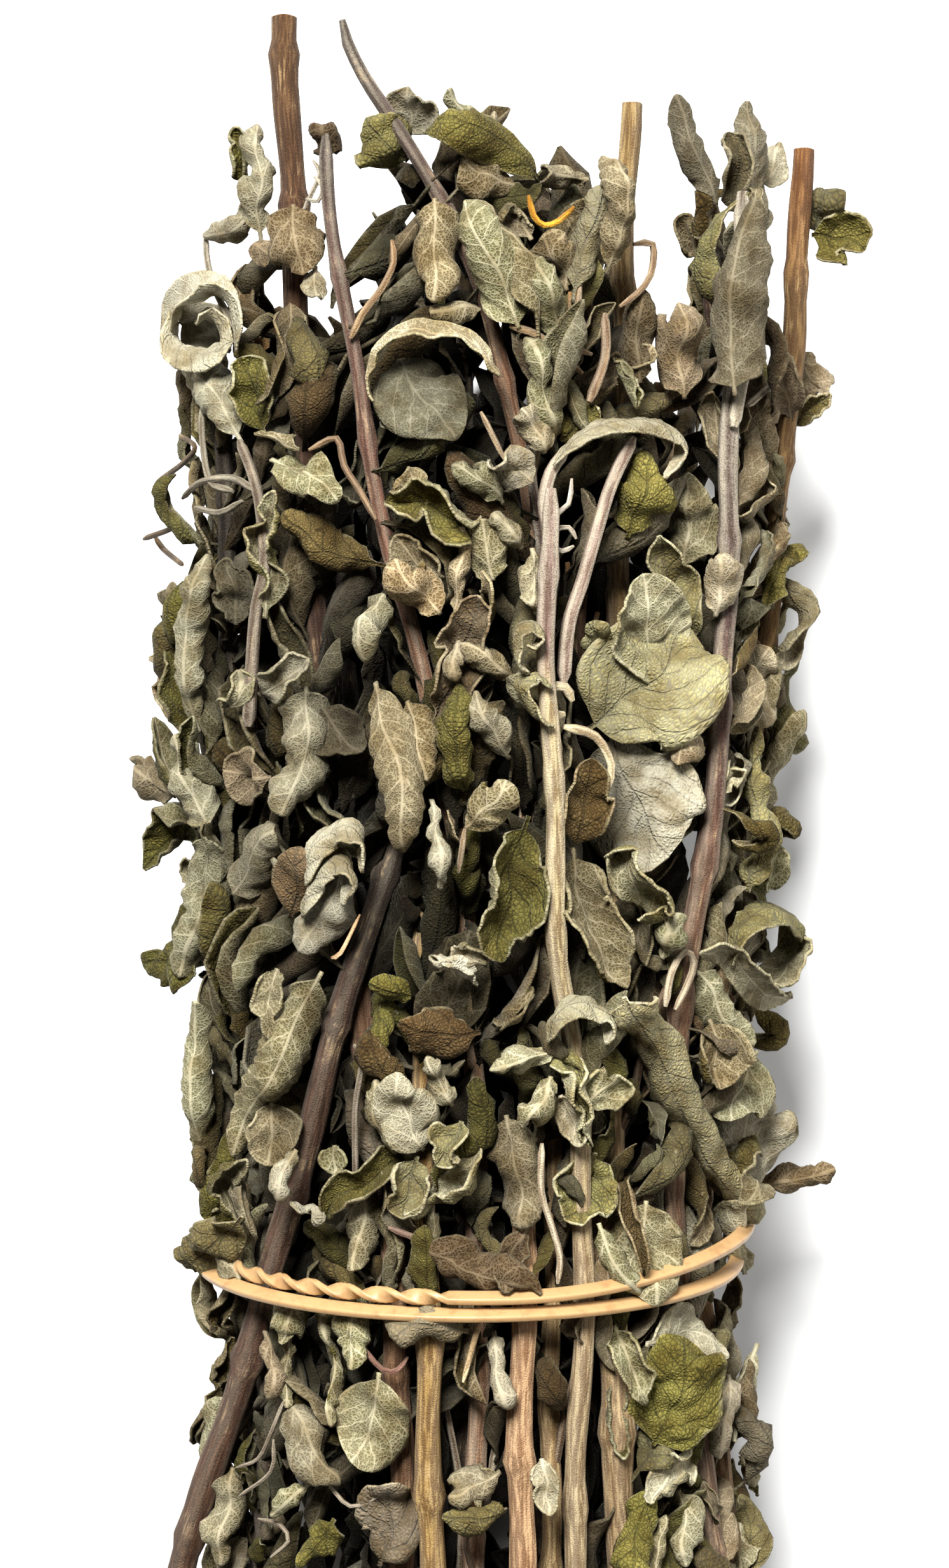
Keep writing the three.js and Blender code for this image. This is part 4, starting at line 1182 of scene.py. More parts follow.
    ((39, 34.5, 1), (43, 38.5, 1), 6, paleHook, (0.2, 0.3, 1.2), {"long": 9}),
    ((35, 6.5, -1), (43.5, -5.5, -1), 9, paleRoll, (0.0, 0.1, 1.15)),
    ((37, -1, -2), (38.5, -12, -1), 14, paleDome, (0.5, 0.0, 0.9)),
    ((44.5, -6, -3), (40.5, -17, -2), 11, paleCup, (0.0, 0.1, 1.05), {"curl": (-0.9, -0.9)}),
    ((41, -31, -3), (45.5, -10.5, -3), 17, paleCup, (0.3, 0.6, 0.95),
     {"curl": (-1.2, -0.9), "full": 1.2, "crumple": 1.3}),
    ((44, -28, -3), (56.7, -24.6, -3), 7, paleRoll, (0.8, 0.1, 0.8)),
    ((23.5, 2.5, 7), (44.5, -33, 5), 13.5, greenDome, (0.25, 0.3, 1.5),
     {"curl": (2.4, 1.5), "bend": -0.1, "twist": 0.1, "blunt": 0.3, "yaw": 0.0, "sway": (0.05, 0.1, 1.0),
      "crumple": 0.7}),
    # pale cluster and rosette
    ((13, -6, 1), (2.5, -9, 1), 9, paleFold, (0.0, 0.2, 1.3)),
    ((12, -10, 1), (7.5, -18, 1), 9, paleFold, (0.1, 0.1, 1.2)),
    ((12.5, -5, 1), (18.5, -21, 1), 11, greenFold, (0.0, 0.15, 1.4)),
    ((17, -14, 1), (22.5, -9.7, 1), 7, paleCup, (0.0, 0.1, 1.2)),
    ((13.5, -13, 1), (16.5, -21, 1), 6, paleCup, (0.3, 0.5, 1.2)),
    ((19, -22, 0), (17, -33.3, 0), 11, greenRoll, (0.0, 0.1, 1.45), {"curl": (-0.9, -0.7)}),
    ((-8, -21.5, 0), (-12, -9.3, 1), 9, paleCup, (0.15, 0.45, 1.1), {"curl": (-0.5, -0.5)}),
    ((-12.5, -22, -1), (-15.5, -10.5, -1), 6, paleRoll, (0.2, 0.1, 0.95)),
    ((-3.5, -14.5, 0), (-7.5, -7, 0), 7, paleRoll, (0.2, 0.3, 1.0)),
    ((-2, -17, 1), (-6, -24, 1), 8, greenRoll, (0.1, 0.2, 1.2), {"curl": (-1.2, -1.2)}),
    ((0.8, -20, 0), (-8.8, -29.5, 0), 9, paleHook, (0.05, 0.3, 1.25),
     {"long": 17, "bend": -1.8, "facing": (-0.5, 0.5, 0.5)}),
    ((-9, -22.5, 0), (-13.5, -31, 0), 9, greenRoll, (0.1, 0.25, 1.15)),
    ((5, -16, -1), (7.3, -34, 0), 11, paleRoll, (0.5, 0.1, 0.75)),
    # round the band
    ((-19, -25, 0), (-19.3, -40.5, 1), 9, paleFold, (0.25, 0.1, 1.05)),
    ((27, -29.5, 1), (28.7, -46, 3), 13, paleCup, (0.15, 0.05, 1.15), {"curl": (-0.6, -0.8)}),
    ((19.5, -33, 1), (26, -44, 2), 5.5, paleRoll, (0.0, 0.0, 1.0)),
    ((-9, -36.5, 2), (10.5, -44.2, 3), 9, paleRoll, (1.0, 0.0, 0.4), {"bend": 0.2}),
    ((8.5, -33.5, 1), (5, -44, 3), 6, paleCup, (1.0, 0.0, 0.4)),
    ((-36.5, -32, 5), (-46.5, -38.5, 3), 9, greenCup, (0.4, 0.1, 0.85), {"curl": (0.4, 0.5)}),
    ((-37, -42, 4), (-42.5, -33.5, 5), 8, paleRoll, (0.3, 0.2, 0.9)),
    ((42.5, -41, 4), (43.5, -30, 5), 11, paleFold, (0.2, 0.3, 1.1)),
    ((-1, -50, 1), (-14, -48.5, 1), 10, greenDome, (0.7, 0.3, 1.1)),
    # lower left, above the band
    ((-42, -27, -3), (-44, 1.7, -4), 11.5, paleRoll, (0.0, 0.1, 1.08), {"twist": 0.3}),
    ((-24, 6.5, -1), (-38, -22.5, -1), 12, paleRoll, (0.2, 0.0, 0.95), {"bend": 0.4, "curl": (-1.9, -1.7)}),
    ((-31, 7, -1), (-32.5, -4, -1), 6, paleCup, (0.3, 0.1, 0.85)),
    ((-32, -14, -2), (-32.5, -24, -1), 9, paleCup, (0.45, 0.1, 0.81)),
    ((-28, -21.5, 1), (-30.5, -29.5, 1), 6, paleRoll, (0.2, 0.6, 0.99)),
    ((-29, -30, 2), (-25.5, -33, 2), 4, paleHook, (0.1, 0.9, 0.99),
     {"long": 9, "bend": -2.6, "facing": (0, -1, 0.4)}),
    ((-22, -20.8, -2), (-22, -25.2, -2), 4.5, paleCup, (0.0, 0.0, 0.99)),
    ((-44, -25, -4), (-40.5, -31, -4), 6, paleFold, (0.1, 0.0, 0.9)),
    # below the band, left
    ((-27.5, -43.5, 0), (-30.5, -52, 0), 8, paleRoll, (0.1, 0.0, 1.0)),
    ((-29, -51, -1), (-29.5, -62, -1), 6, paleRoll, (0.2, 0.0, 0.95)),
    ((-24, -45, -1), (-22.5, -65, 0), 11, greenFold, (0.15, 0.0, 1.1)),
    ((-20, -43, 1), (-19.5, -56, 1), 8, paleRoll, (0.0, 0.0, 1.3)),
    ((-15, -56.5, 1), (-19.5, -70.5, 1), 12, paleCup, (0.1, 0.1, 1.3), {"curl": (-0.9, -0.9)}),
    ((-29, -61, -1), (-21.3, -74, -1), 12, paleRoll, (0.35, 0.3, 0.85)),
    ((-33, -50, 0), (-32.5, -60.5, 0), 5, paleRoll, (0.8, 0.2, 0.8)),
    ((-26, -74, 0), (-32, -79, 0), 5, paleRoll, (0.0, 0.0, 1.1)),
    ((-15, -87, -1), (-13.5, -74, 0), 10, greenCup, (1.0, 0.4, 1.1)),
    ((-38, -71.5, -1), (-40, -87, -1), 9, paleRoll, (0.25, 0.2, 1.0)),
    ((-22, -79.5, -1), (-28, -87, -1), 9, greenDome, (0.05, 0.0, 1.2)),
    ((-38, -40, -3), (-40.5, -49, -4), 7, greenFold, (0.6, 0.0, 0.6)),
    ((-38, -51, -3), (-40.5, -58, -4), 6, greenFold, (0.5, 0.0, 0.6)),
    ((-40, -59, -4), (-43, -66, -5), 7, greenFold, (0.5, 0.0, 0.6)),
    # below the band, middle and right
    ((3, -50, -1), (5.5, -62, -1), 5, paleRoll, (0.4, 0.5, 1.0)),
    ((4, -72, 0), (-4, -76, 0), 8, paleRoll, (0.4, 0.3, 1.1)),
    ((5, -78, 0), (-5, -79, 0), 8, greenDome, (0.3, 0.1, 1.1)),
    ((10.5, -70, 2), (11.7, -79, 2), 4.5, paleCup, (0.2, 0.5, 1.2)),
    ((22, -49, 0), (27, -61.5, 0), 7, paleRibbon, (0.0, 0.0, 1.05)),
    ((23, -56, -1), (23.5, -70, -1), 6, greenRoll, (0.0, 0.0, 0.9)),
    ((28, -68, 0), (33, -51, 1), 15, greenCup, (0.0, 0.0, 1.2), {"curl": (0.3, 0.3), "blunt": 0.35}),
    ((27, -52, 2), (40, -54, 2), 9, paleCup, (0.1, 0.5, 1.05), {"curl": (-0.6, -0.6)}),
    ((44.5, -52, -2), (41, -67.5, -1), 4, paleRoll, (0.0, 0.3, 1.2)),
    ((40, -57, -2), (38.5, -70, -1), 8, paleRoll, (0.6, 0.5, 0.9)),
    ((34.5, -67, 0), (28, -77, 1), 9, paleRibbon, (0.05, 0.5, 1.2)),
    ((28, -74, 0), (26, -83.8, 0), 8, greenHook, (0.0, 0.0, 1.2), {"long": 16, "bend": -1.5}),
    ((32, -75, -1), (33.3, -87, 0), 8, paleRoll, (0.05, 0.2, 1.15)),
    ((42, -70, -3), (44.5, -76, -4), 5, paleFold, (0.2, 0.0, 0.9)),
    ((42, -80, -2), (42, -88, -2), 8, paleCup, (0.15, 0.1, 1.0)),
]

# leaves that curl along a line: the points that they pass, how far they rise above the leafy outside, the
# flat width, how brown, woolly and light they are, and the way that the blade stands across the line; light
# is partly their own paleness and partly painted light and shade
curledLeaves = [
    ([(40.5, 7.5), (41.8, 13), (46, 16.4), (50.3, 14.8), (50.8, 9.5), (47.5, 5), (44, 4.6)],
     1.5, 9, (0.1, 0.15, 1.15), (0.35, -0.3, 1)),
    ([(35.5, 9.5), (40, 9.8), (43.5, 5.5), (46, 2.8), (49.3, 2.2)],
     1.5, 6, (0.2, 0.25, 1.0), (0.5, 0.6, 0.7)),
    ([(-37.5, 104), (-37.5, 109), (-40.5, 112.8), (-45, 112.2), (-47.5, 108.5), (-45.5, 104.5),
      (-41.5, 104), (-39.8, 107), (-41.5, 109.6), (-43.8, 108.6)],
     -1.0, 8.5, (0.05, 0.9, 1.1), (0.3, -0.4, 1)),
    ([(4, 100), (-1, 105.3), (-8, 107.2), (-13.5, 105.3), (-16.3, 101), (-15.8, 96)],
     1.0, 4.2, (0.35, 0.3, 1.2), (0.1, -0.7, 0.8)),
    ([(8.6, 53.5), (6.2, 56), (6.4, 60), (9.2, 61.3), (11, 59), (9.6, 56.8), (8.2, 57.8)],
     3.5, 4.5, (0.35, 0.35, 1.15), (0.2, -0.3, 1)),
    ([(-26.5, 20), (-25.3, 26.5), (-21.3, 29.4), (-17.4, 27.2), (-17.6, 22)],
     1.5, 7, (0.05, 0.85, 1.15), (0.2, -0.6, 0.9)),
    ([(-27, 15), (-25.2, 21.5), (-21.6, 24.4), (-18.8, 21.8), (-20.6, 16.8)],
     1.5, 6.5, (0.1, 0.8, 1.0), (0.2, -0.6, 0.9)),
    ([(11.5, -4.5), (13.5, 0.2), (17.5, 1.8), (21.2, -0.6), (21, -5)],
     2.0, 5.5, (0.1, 0.6, 1.2), (0.2, -0.6, 0.9)),
    ([(20.5, 24.5), (24, 26), (25.4, 21), (29, 18.6), (30, 15), (25.8, 14.6)],
     1.5, 9, (0.0, 0.15, 1.25), (0.5, 0.4, 0.9)),
    ([(12.5, 86), (15, 89.5), (20, 92.6), (26, 93.4), (31, 91.8), (33, 89.3), (32.5, 86.5), (30, 84)],
     0.5, 5.5, (0.25, 0.7, 1.1), (0.1, -0.5, 0.9)),
    ([(12.5, 45), (8.5, 47.5), (6.6, 51.5), (9.8, 53.5), (12.2, 51)],
     3.0, 5, (0.1, 0.3, 1.2), (0.3, -0.4, 1)),
]

# sink is how far the feet lie below what their rows say, and a leaf longer than large gets a finer grid
heroLeaf = {"sink": 2.5, "stalk": (0.03, 0.12), "roll": 0.2, "large": 17}
leaves = []


def easedLine(points, step=1.3):
    # a smooth line through the points
    p = np.array([2 * points[0] - points[1], *points, 2 * points[-1] - points[-2]])
    line = []
    for k in range(1, len(p) - 2):
        count = max(2, int(np.linalg.norm(p[k + 1] - p[k]) / step))
        for t in np.arange(count)[:, None] / count:
            sides = (p[k + 1] - p[k - 1]) * t + (2 * p[k - 1] - 5 * p[k] + 4 * p[k + 1] - p[k + 2]) * t**2
            line.append(p[k] + (sides + (3 * p[k] - p[k - 1] - 3 * p[k + 1] + p[k + 2]) * t**3) / 2)
    return np.array([*line, p[-2]])


def addLeaf(shape, base, matrix, turn, place, quality, look):
    crowd.add(*leafProxy(matrix, shape))
    tone, wool, light = look
    leaves.append({
        "shape": shape, "quality": quality, "base": Vector(base), "turn": turn.to_euler(), "place": place,
        "scale": 1.0, "tone": tone, "wool": wool, "light": light,
    })


def placeHeroes():
    for foot, tip, wide, (kind, side), look, *others in heroes:
        own = others[0] if others else {}
        rng = random.Random(f"{foot}{tip}")
        base = seenAt(foot[0], foot[1], foot[2] - heroLeaf["sink"])
        way = seenAt(*tip) - base
        changes = {"stalk": rng.uniform(*heroLeaf["stalk"]), **own}
        shape = randomShape(kind, own.get("long", way.length), rng, **changes)
        if "long" not in own:
            # bends bring the tip nearer to the foot, so the length grows until the tip is in its place
            for _ in range(4):
                grid = leafSurface(shape, *leafGrids["guide"])[0]
                shape["length"] *= way.length / float(np.linalg.norm(grid[-1, 1] - grid[0, 1]))
        shape["width"] = wide
        roll = rng.gauss(0, heroLeaf["roll"]) + (math.pi if side == "under" else 0)
        matrix, turn, place = placing(shape, base, way, own.get("facing", (0, 0, 1)), roll, 1.0)
        quality = "hero" if shape["length"] > heroLeaf["large"] else "fine"
        addLeaf(shape, base, matrix, turn, place, quality, look)


def placeCurled():
    common = {"curl": (0.5, 0.7), "fold": 0.1, "stalk": 0.02, "blunt": 0.42, "crumple": 0.35}
    for points, rise, wide, look, across in curledLeaves:
        rng = random.Random(f"{points}")
        line = easedLine([np.array(seenAt(x, y, rise)) for x, y in points], 0.6)
        shape = randomShape("hooked", 0.6 * len(line), rng, path=line, across=across, **common)
        shape.update(width=wide, twist=0.0)
        base = seenAt(*points[0], rise)
        addLeaf(shape, base, Matrix(), Matrix.Identity(3), Vector(), "hero", look)


placeHeroes()
placeCurled()
print("hero leaves placed:", len(leaves))

# fine stalks, each row: the points that it passes, how far it rises above the leafy outside, its radius at
# both ends, its colour and its wool
fineLines = [
    # the woolly arch, the strap beside it and the rings at its joint
    ([(11.5, 66), (12, 74), (11, 80), (12, 85), (14.5, 88.5)], 1.0, (1.3, 0.9), (172, 154, 138), 0.7),
    ([(14, 52), (14.8, 61), (17, 68), (19.3, 76), (21.5, 83), (25, 90.5)],
     0.6, (1.1, 1.0), (148, 126, 112), 0.6),
    ([(15.3, 84), (14.8, 80), (12, 77.5), (11.2, 73)], 2.2, (0.4, 0.35), (214, 208, 196), 0.6),
    ([(16, 74.5), (14.8, 76.3), (12.6, 75.8), (12.2, 73.6), (13.8, 72.6), (15.6, 73.4)],
     2.4, (0.4, 0.4), (186, 176, 160), 0.8),
    ([(15.4, 49), (14.2, 51.2), (11.8, 51), (10.7, 49), (11.9, 46.9), (14.2, 47)],
     1.6, (0.8, 0.8), (206, 192, 150), 0.5),
    ([(14, 45), (19, 43.5), (21.5, 39), (21, 35)], 0.8, (0.8, 0.6), (214, 198, 156), 0.4),
    # top right
    ([(40.7, 92), (42, 99), (43.7, 105), (45.5, 113.5)], 5.0, (1.1, 0.9), (150, 140, 118), 0.8),
    ([(43, 95.5), (46.5, 98.5), (49.5, 100), (50.7, 103)], 0.6, (0.6, 0.5), (140, 122, 96), 0.7),
    ([(5.5, 108), (10, 106.5), (14, 103), (17, 100.5)], 0.6, (0.65, 0.6), (140, 114, 80), 0.2),
    ([(14, 105), (18.5, 103.5)], 0.8, (0.55, 0.5), (140, 114, 80), 0.2),
    ([(16.3, 118), (16.3, 112), (15.8, 105)], 0.6, (0.6, 0.7), (128, 104, 74), 0.3),
    ([(18, 96), (20.5, 103), (20.5, 110)], 0.4, (0.8, 0.7), (138, 112, 84), 0.3),
    ([(8.5, 128.5), (9.3, 125.3), (11, 123.8), (13.3, 124.5), (15.7, 126.7)],
     1.2, (0.5, 0.45), (214, 160, 50), 0.0),
    ([(25, 120.8), (28, 120.8), (27.7, 116), (25.5, 113), (22.8, 111)],
     0.2, (0.6, 0.5), (150, 124, 92), 0.2),
    ([(37, 121), (36.5, 114), (37, 108)], -3.0, (0.7, 0.7), (58, 42, 32), 0.0),
    # top left
    ([(-42.3, 122.5), (-42, 118), (-40.5, 113), (-38, 108.5), (-36.5, 106)],
     -2.0, (0.5, 0.6), (120, 112, 96), 0.5),
    ([(-19.5, 106), (-17.5, 110), (-14.5, 114), (-12.7, 118), (-13, 121.5)],
     -0.5, (0.6, 0.5), (170, 140, 100), 0.2),
    ([(-26, 88.5), (-21.7, 90.3), (-20.5, 86), (-18, 82), (-15.5, 77.5)],
     0.4, (0.5, 0.5), (140, 112, 80), 0.2),
    ([(-27, 126), (-25.5, 129), (-24.3, 132), (-25.4, 134)], -1.0, (0.4, 0.35), (140, 134, 120), 0.6),
    ([(-26.5, 128), (-24.6, 127.6), (-23.9, 129.8), (-25.2, 131.4)],
     -0.6, (0.35, 0.35), (140, 134, 120), 0.6),
    ([(-52, 74.5), (-47, 77), (-49.5, 80), (-50, 83), (-46, 86.5), (-44, 89), (-46.5, 91)],
     -3.0, (0.5, 0.4), (96, 76, 50), 0.1),
    ([(-50.3, 75), (-49, 73), (-46, 70.5)], -3.0, (0.5, 0.45), (96, 76, 50), 0.1),
    ([(-43, 95), (-42.7, 89), (-41.5, 83.5), (-38, 82)], -1.5, (0.5, 0.6), (126, 120, 102), 0.35),
    ([(-46, 81), (-43, 83.5), (-38, 84), (-34.5, 82)], -1.0, (0.5, 0.6), (126, 120, 102), 0.35),
    ([(-44, 79.5), (-40, 78.7), (-36.5, 80.5)], -1.2, (0.5, 0.5), (126, 120, 102), 0.35),
    ([(-37, 90), (-34.7, 84), (-33.5, 78), (-33, 70), (-34.5, 62), (-35.5, 45)],
     -1.6, (0.8, 1.1), (110, 95, 80), 0.3),
    # middle
    ([(1, 94.5), (4.7, 87)], 0.4, (0.45, 0.45), (150, 128, 96), 0.3),
    ([(-1.5, 29), (-2.5, 22)], 0.6, (0.5, 0.45), (150, 128, 96), 0.3),
    ([(30, 1), (31, 6.5), (33, 9.7), (34.5, 8), (33.5, 4.5), (31.5, 0.5)],
     1.0, (0.6, 0.5), (186, 170, 140), 0.5),
    ([(-19, -5), (-17.6, -7), (-18.7, -15), (-18.7, -26)], 0.8, (0.5, 0.5), (120, 108, 92), 0.3),
    ([(-13.6, -33.7), (-8, -36), (-4.5, -39)], 1.5, (0.5, 0.5), (150, 120, 108), 0.2),
    ([(10.6, -20.5), (10.5, -28), (12, -33), (13.4, -38), (13.1, -42.5)],
     1.0, (0.55, 0.5), (214, 200, 170), 0.3),
    ([(-22.5, 8.7), (-21, 9.5), (-18, 15.5)], 1.0, (0.4, 0.3), (222, 184, 140), 0.0),
    # below the band
    ([(0.9, -48), (-1.8, -58)], 0.8, (0.5, 0.4), (226, 204, 160), 0.0),
    ([(-18, -52), (-14.5, -56), (-12, -56), (-10.5, -54)], 0.8, (0.4, 0.4), (160, 120, 104), 0.1),
    ([(-30, -61), (-32, -66), (-34, -70), (-37.5, -71.5)], 0.3, (0.35, 0.3), (150, 138, 118), 0.3),
    ([(-31.6, -67), (-32, -72), (-37, -76)], 0.3, (0.35, 0.3), (150, 138, 118), 0.3),
    ([(-23, -74), (-19.5, -77.5), (-15, -76)], 0.3, (0.35, 0.3), (150, 138, 118), 0.3),
    ([(-34, -79.5), (-30.5, -80.5), (-29.3, -83), (-32, -85.5)], 0.3, (0.35, 0.3), (150, 138, 118), 0.3),
]


def makeFineStalks():
    rods = Rods()
    for points, rise, (first, last), colour, wool in fineLines:
        line = easedLine([np.array(seenAt(x, y, rise - heroLeaf["sink"])) for x, y in points])
        radii = np.linspace(first, last, len(line))
        radii[0] = 0.5 * first
        radii[-1] = 0.5 * last
        crowd.addTube(line, radii)
        rods.add(line, radii, srgb(*colour), wool, 0.3, (0, 0), points[0][0] * 0.1)
    rods.skin("fineStalks", "stem_brown", [])


makeFineStalks()
print("fine stalks made:", len(fineLines))

# side twigs: out and side say how far they lean, reach and belowCrown keep them inside the leaves
twigs = {
    "seed": 9, "count": 46, "length": (16, 46), "radius": (0.55, 0.95), "tipRadius": 0.35,
    "y": (-105, 95), "belowTop": 20, "bandFree": (-50, -32), "reach": 0.98, "belowCrown": 6,
    "out": (0.12, 0.34), "side": 0.35, "wander": 0.7, "jointGap": 9, "swellReach": 1.1,
    "barks": ((112, 88, 66), (92, 74, 58), (134, 114, 82), (118, 106, 84), (96, 76, 70)),
}


def randomTwig(outer, rng):
    # grows out of a stem and bends upwards; none where it would be under the band or outside the leaves
    node = rng.choice(outer)
    path = paths[node]
    y = rng.uniform(twigs["y"][0], min(twigs["y"][1], path[-1, 1] - twigs["belowTop"]))
    if twigs["bandFree"][0] < y < twigs["bandFree"][1] or y < path[0, 1]:
        return None
    start = Vector(stemAt(node, y))
    out = outwards(start)
    beside = Vector((out.z, 0, -out.x))
    length = rng.uniform(*twigs["length"])
    side = beside * rng.uniform(-twigs["side"], twigs["side"])
    away = out * rng.uniform(*twigs["out"]) + side
    t = np.linspace(0, 1, max(8, int(length / 2)))[:, None]
    wave = rng.uniform(0, 6.28)
    line = np.array(start) + np.array(away) * length * t**0.8 + np.array((0, 1, 0)) * length * t
    line = line + np.array(beside) * twigs["wander"] * np.sin(t * 7 + wave)
    radii = between(rng.uniform(*twigs["radius"]), twigs["tipRadius"], t[:, 0] ** 1.5)
    x, y, z = line[-1]
    if outness(x, y, z) ** 2 > twigs["reach"] or y > crownAt(x) - twigs["belowCrown"]:
        return None
    return np.hstack([line, radii[:, None]])


def makeTwigs():
    rng = random.Random(twigs["seed"])
    outer = [n for n in stemNodes if n != "stem_dark_crossing"]
    made = []
    while len(made) < twigs["count"]:
        path = randomTwig(outer, rng)
        if path is not None:
            made.append(path)
            paths[f"twig{len(made):02d}"] = path
            crowd.addRod(path)
    rng = random.Random(twigs["seed"] + 1)
    rods = Rods()
    for path in made:
        y = path[:, 1]
        swell = swellings(y, np.arange(y[0] + 6, y[-1], twigs["jointGap"]), twigs["swellReach"])
        radii = path[:, 3] * (1 + stemShape["swell"] * swell)
        stain = srgb(*rng.choice(twigs["barks"]))
        wool = rng.uniform(0, 0.6)
        tilt = rng.uniform(0, 1)
        rods.add(path[:, :3], radii, stain, wool, tilt, (0, 1), rng.uniform(0, 3))
    rods.skin("sideTwigs", "stem_brown", [])
    print("side twigs made:", len(made))


makeTwigs()

kindShares = {
    "cupped": 2, "rolledUnder": 5, "rolledOver": 9, "folded": 4, "hooked": 4, "ribbon": 5, "scroll": 3,
}
# layers are rows of how far out, how many and the quality; sizes are lengths, with their shares among the
# leaves of the outer and the inner layers; hits are how many touching faces and hiding corners are let pass,
# and tone and wool are a middle and a spread; light is a range of brightness at random, and the inner layers
# are darkened further by how deep they lie, down to a floor, which is painted shade
scatter = {
    "seed": 5, "librarySeed": 11, "shapesOfEachKind": 8, "shapeLength": 20.0,
    "layers": (
        (0.45, 150, "inner"), (0.66, 240, "inner"), (0.8, 300, "coarse"), (0.9, 380, "middle"),
        (0.98, 420, "fine"),
    ),
    "outer": 0.85, "outermost": 0.95, "fineAbove": 0.62,
    "spots": 14, "y": (-112, 130), "inset": 0.97, "belowCrown": 8, "lowest": 1.5, "bandGap": 5,
    "frontWeight": 1.3, "backWeight": 0.9, "lowEnd": -90, "lowWeight": 0.6,
    "sizes": ((7, 12), (13, 20), (19, 23)), "outerShares": (3, 6, 2), "innerShares": (0, 2, 6),
    "drop": (4, 13), "ways": (1, 1, 1, -1), "nearness": (0.8, 1.25), "flatness": (0.3, 0.7),
    "tries": 10, "hits": 30, "outerHits": 18, "countedHits": 40, "hidingWeight": 3,
    "reach": 1.12, "aboveCrown": 4, "offFloor": 0.6,
    "tone": (0.3, 0.28), "wool": (0.1, 0.22), "light": (0.5, 1.12), "paintedShade": 1.2, "darkestShade": 0.4,
}
# how far leaves roll about their length, and the share of most kinds that shows the underside
rolls = {"most": 1.0, "rolledUnder": 0.8, "eitherSide": 0.7, "undersides": 0.6}
# how much of the front is left open there: x and y of the middle, half width, half height, share
openings = [
    (3, -68, 24, 25, 0.93), (8, -30, 12, 10, 0.6), (-21, 46, 8, 26, 0.75), (-24, -2, 7, 15, 0.6),
    (12, -12, 9, 8, 0.4), (-13, 14, 12, 16, 0.85), (-22, -20, 9, 14, 0.6), (-15, 88, 8, 8, 0.5),
    (25, 34, 9, 11, 0.9), (25, 59, 10, 15, 0.95), (35, -14, 9, 15, 0.85), (-8, 108, 7, 12, 0.6),
    (27, 105, 5, 14, 0.8),
]
# what nothing hides: stems between two heights, each with a margin beside it, and round places, as x and y
# of the middle and how far they reach, above a height
clearStems = (
    ("stem_tall_cut", 116, 150), ("stem_long_diagonal", 76, 150), ("stem_long_diagonal", -95, -46),
    ("stem_short_diagonal", 52, 134), ("stem_short_diagonal", -84, -60), ("stem_straw_cut", 112, 142),
    ("stem_woolly", 14, 112), ("stem_right_cut", 100, 134), ("stem_silver_sprig", 0, 80),
    ("stem_silver_sprig", -95, -48), ("stem_ochre", -95, -46), ("stem_dark_crossing", -123, 28),
    ("stem_split_pale", -90, -55), ("stem_tall_cut", -90, -62),
)
clearPlaces = ((22, 57, 10), (24, 38, 7), (22, 31, 6), (30, -5, 6), (34, -14, 6), (37, -22, 6))
front = {"openAbove": 52, "stemMargin": 0.6, "placesAbove": 62}


def makeLibrary():
    # the shapes that scattered leaves share, as pairs of the kind and the shape
    rng = random.Random(scatter["librarySeed"])
    kinds = [kind for kind in leafKinds for _ in range(scatter["shapesOfEachKind"])]
    return [(kind, randomShape(kind, scatter["shapeLength"], rng)) for kind in kinds]


def openHere(p):
    if p[2] < front["openAbove"]:
        return 0.0
    inside = [0.0]
    for x, y, wide, high, share in openings:
        if ((p[0] - x) / wide) ** 2 + ((p[1] - y) / high) ** 2 < 1:
            inside.append(share)
    return max(inside)


def hiding(c):
    # how many corners of a leaf come between the camera and a stem or leaf that shows
    total = 0
    for node, low, high in clearStems:
        path = paths[node]
        x, z, r = (np.interp(c[:, 1], path[:, 1], path[:, k]) for k in (0, 2, 3))
        above = (c[:, 1] > low) & (c[:, 1] < high) & (c[:, 2] > z)
        total += int(np.sum(above & (np.abs(c[:, 0] - x) < r + front["stemMargin"])))
    for x, y, reach in clearPlaces:
        above = c[:, 2] > front["placesAbove"]
        total += int(np.sum(above & (np.hypot(c[:, 0] - x, c[:, 1] - y) < reach)))
    return total


def nearestPoint(p, drop, rng):
    # the point of a stem or twig, at drop below p, that is about the nearest to p
    best = None
    nearest = math.inf
    y = p[1] - drop
    for node, path in paths.items():
        if path[0, 1] <= y <= path[-1, 1]:
            q = stemAt(node, y)
            gap = math.dist(p, q) * rng.uniform(*scatter["nearness"])
            if gap < nearest:
                nearest = gap
                best = Vector(q)
    return best


def fits(c):
    low = c[:, 2].min()
    out = outness(c[:, 0], c[:, 1].mean(), c[:, 2]).max()
    over = (c[:, 1] - crownAt(c[:, 0])).max()
    return low > scatter["offFloor"] and out < scatter["reach"] and over < scatter["aboveCrown"]


def pickSpot(depth, done, rng):
    # the emptiest of a few random spots on this layer; the front counts more and the lower end less
    spots = []
    for _ in range(scatter["spots"]):
        turn = rng.uniform(0, 2 * math.pi)
        y = rng.uniform(*scatter["y"])
        half, deep, middle = section(y)
        x = half * depth * math.cos(turn) * scatter["inset"]
        z = middle + deep * depth * math.sin(turn) * scatter["inset"]
        bandY = band["y"] - band["tilt"] * (z - band["axis"])
        banded = depth > scatter["outermost"] and abs(y - bandY) < scatter["bandGap"]
        tooHigh = y > crownAt(x) - scatter["belowCrown"]
        if tooHigh or z < scatter["lowest"] or banded or rng.random() < openHere((x, y, z)):
            continue
        gap = min((math.dist((x, y, z), q) for q in done), default=99)
        gap *= scatter["frontWeight" if math.sin(turn) > -0.1 else "backWeight"]
        if y < scatter["lowEnd"]:
            gap *= scatter["lowWeight"]
        spots.append((gap, (x, y, z)))
    return max(spots)[1] if spots else None


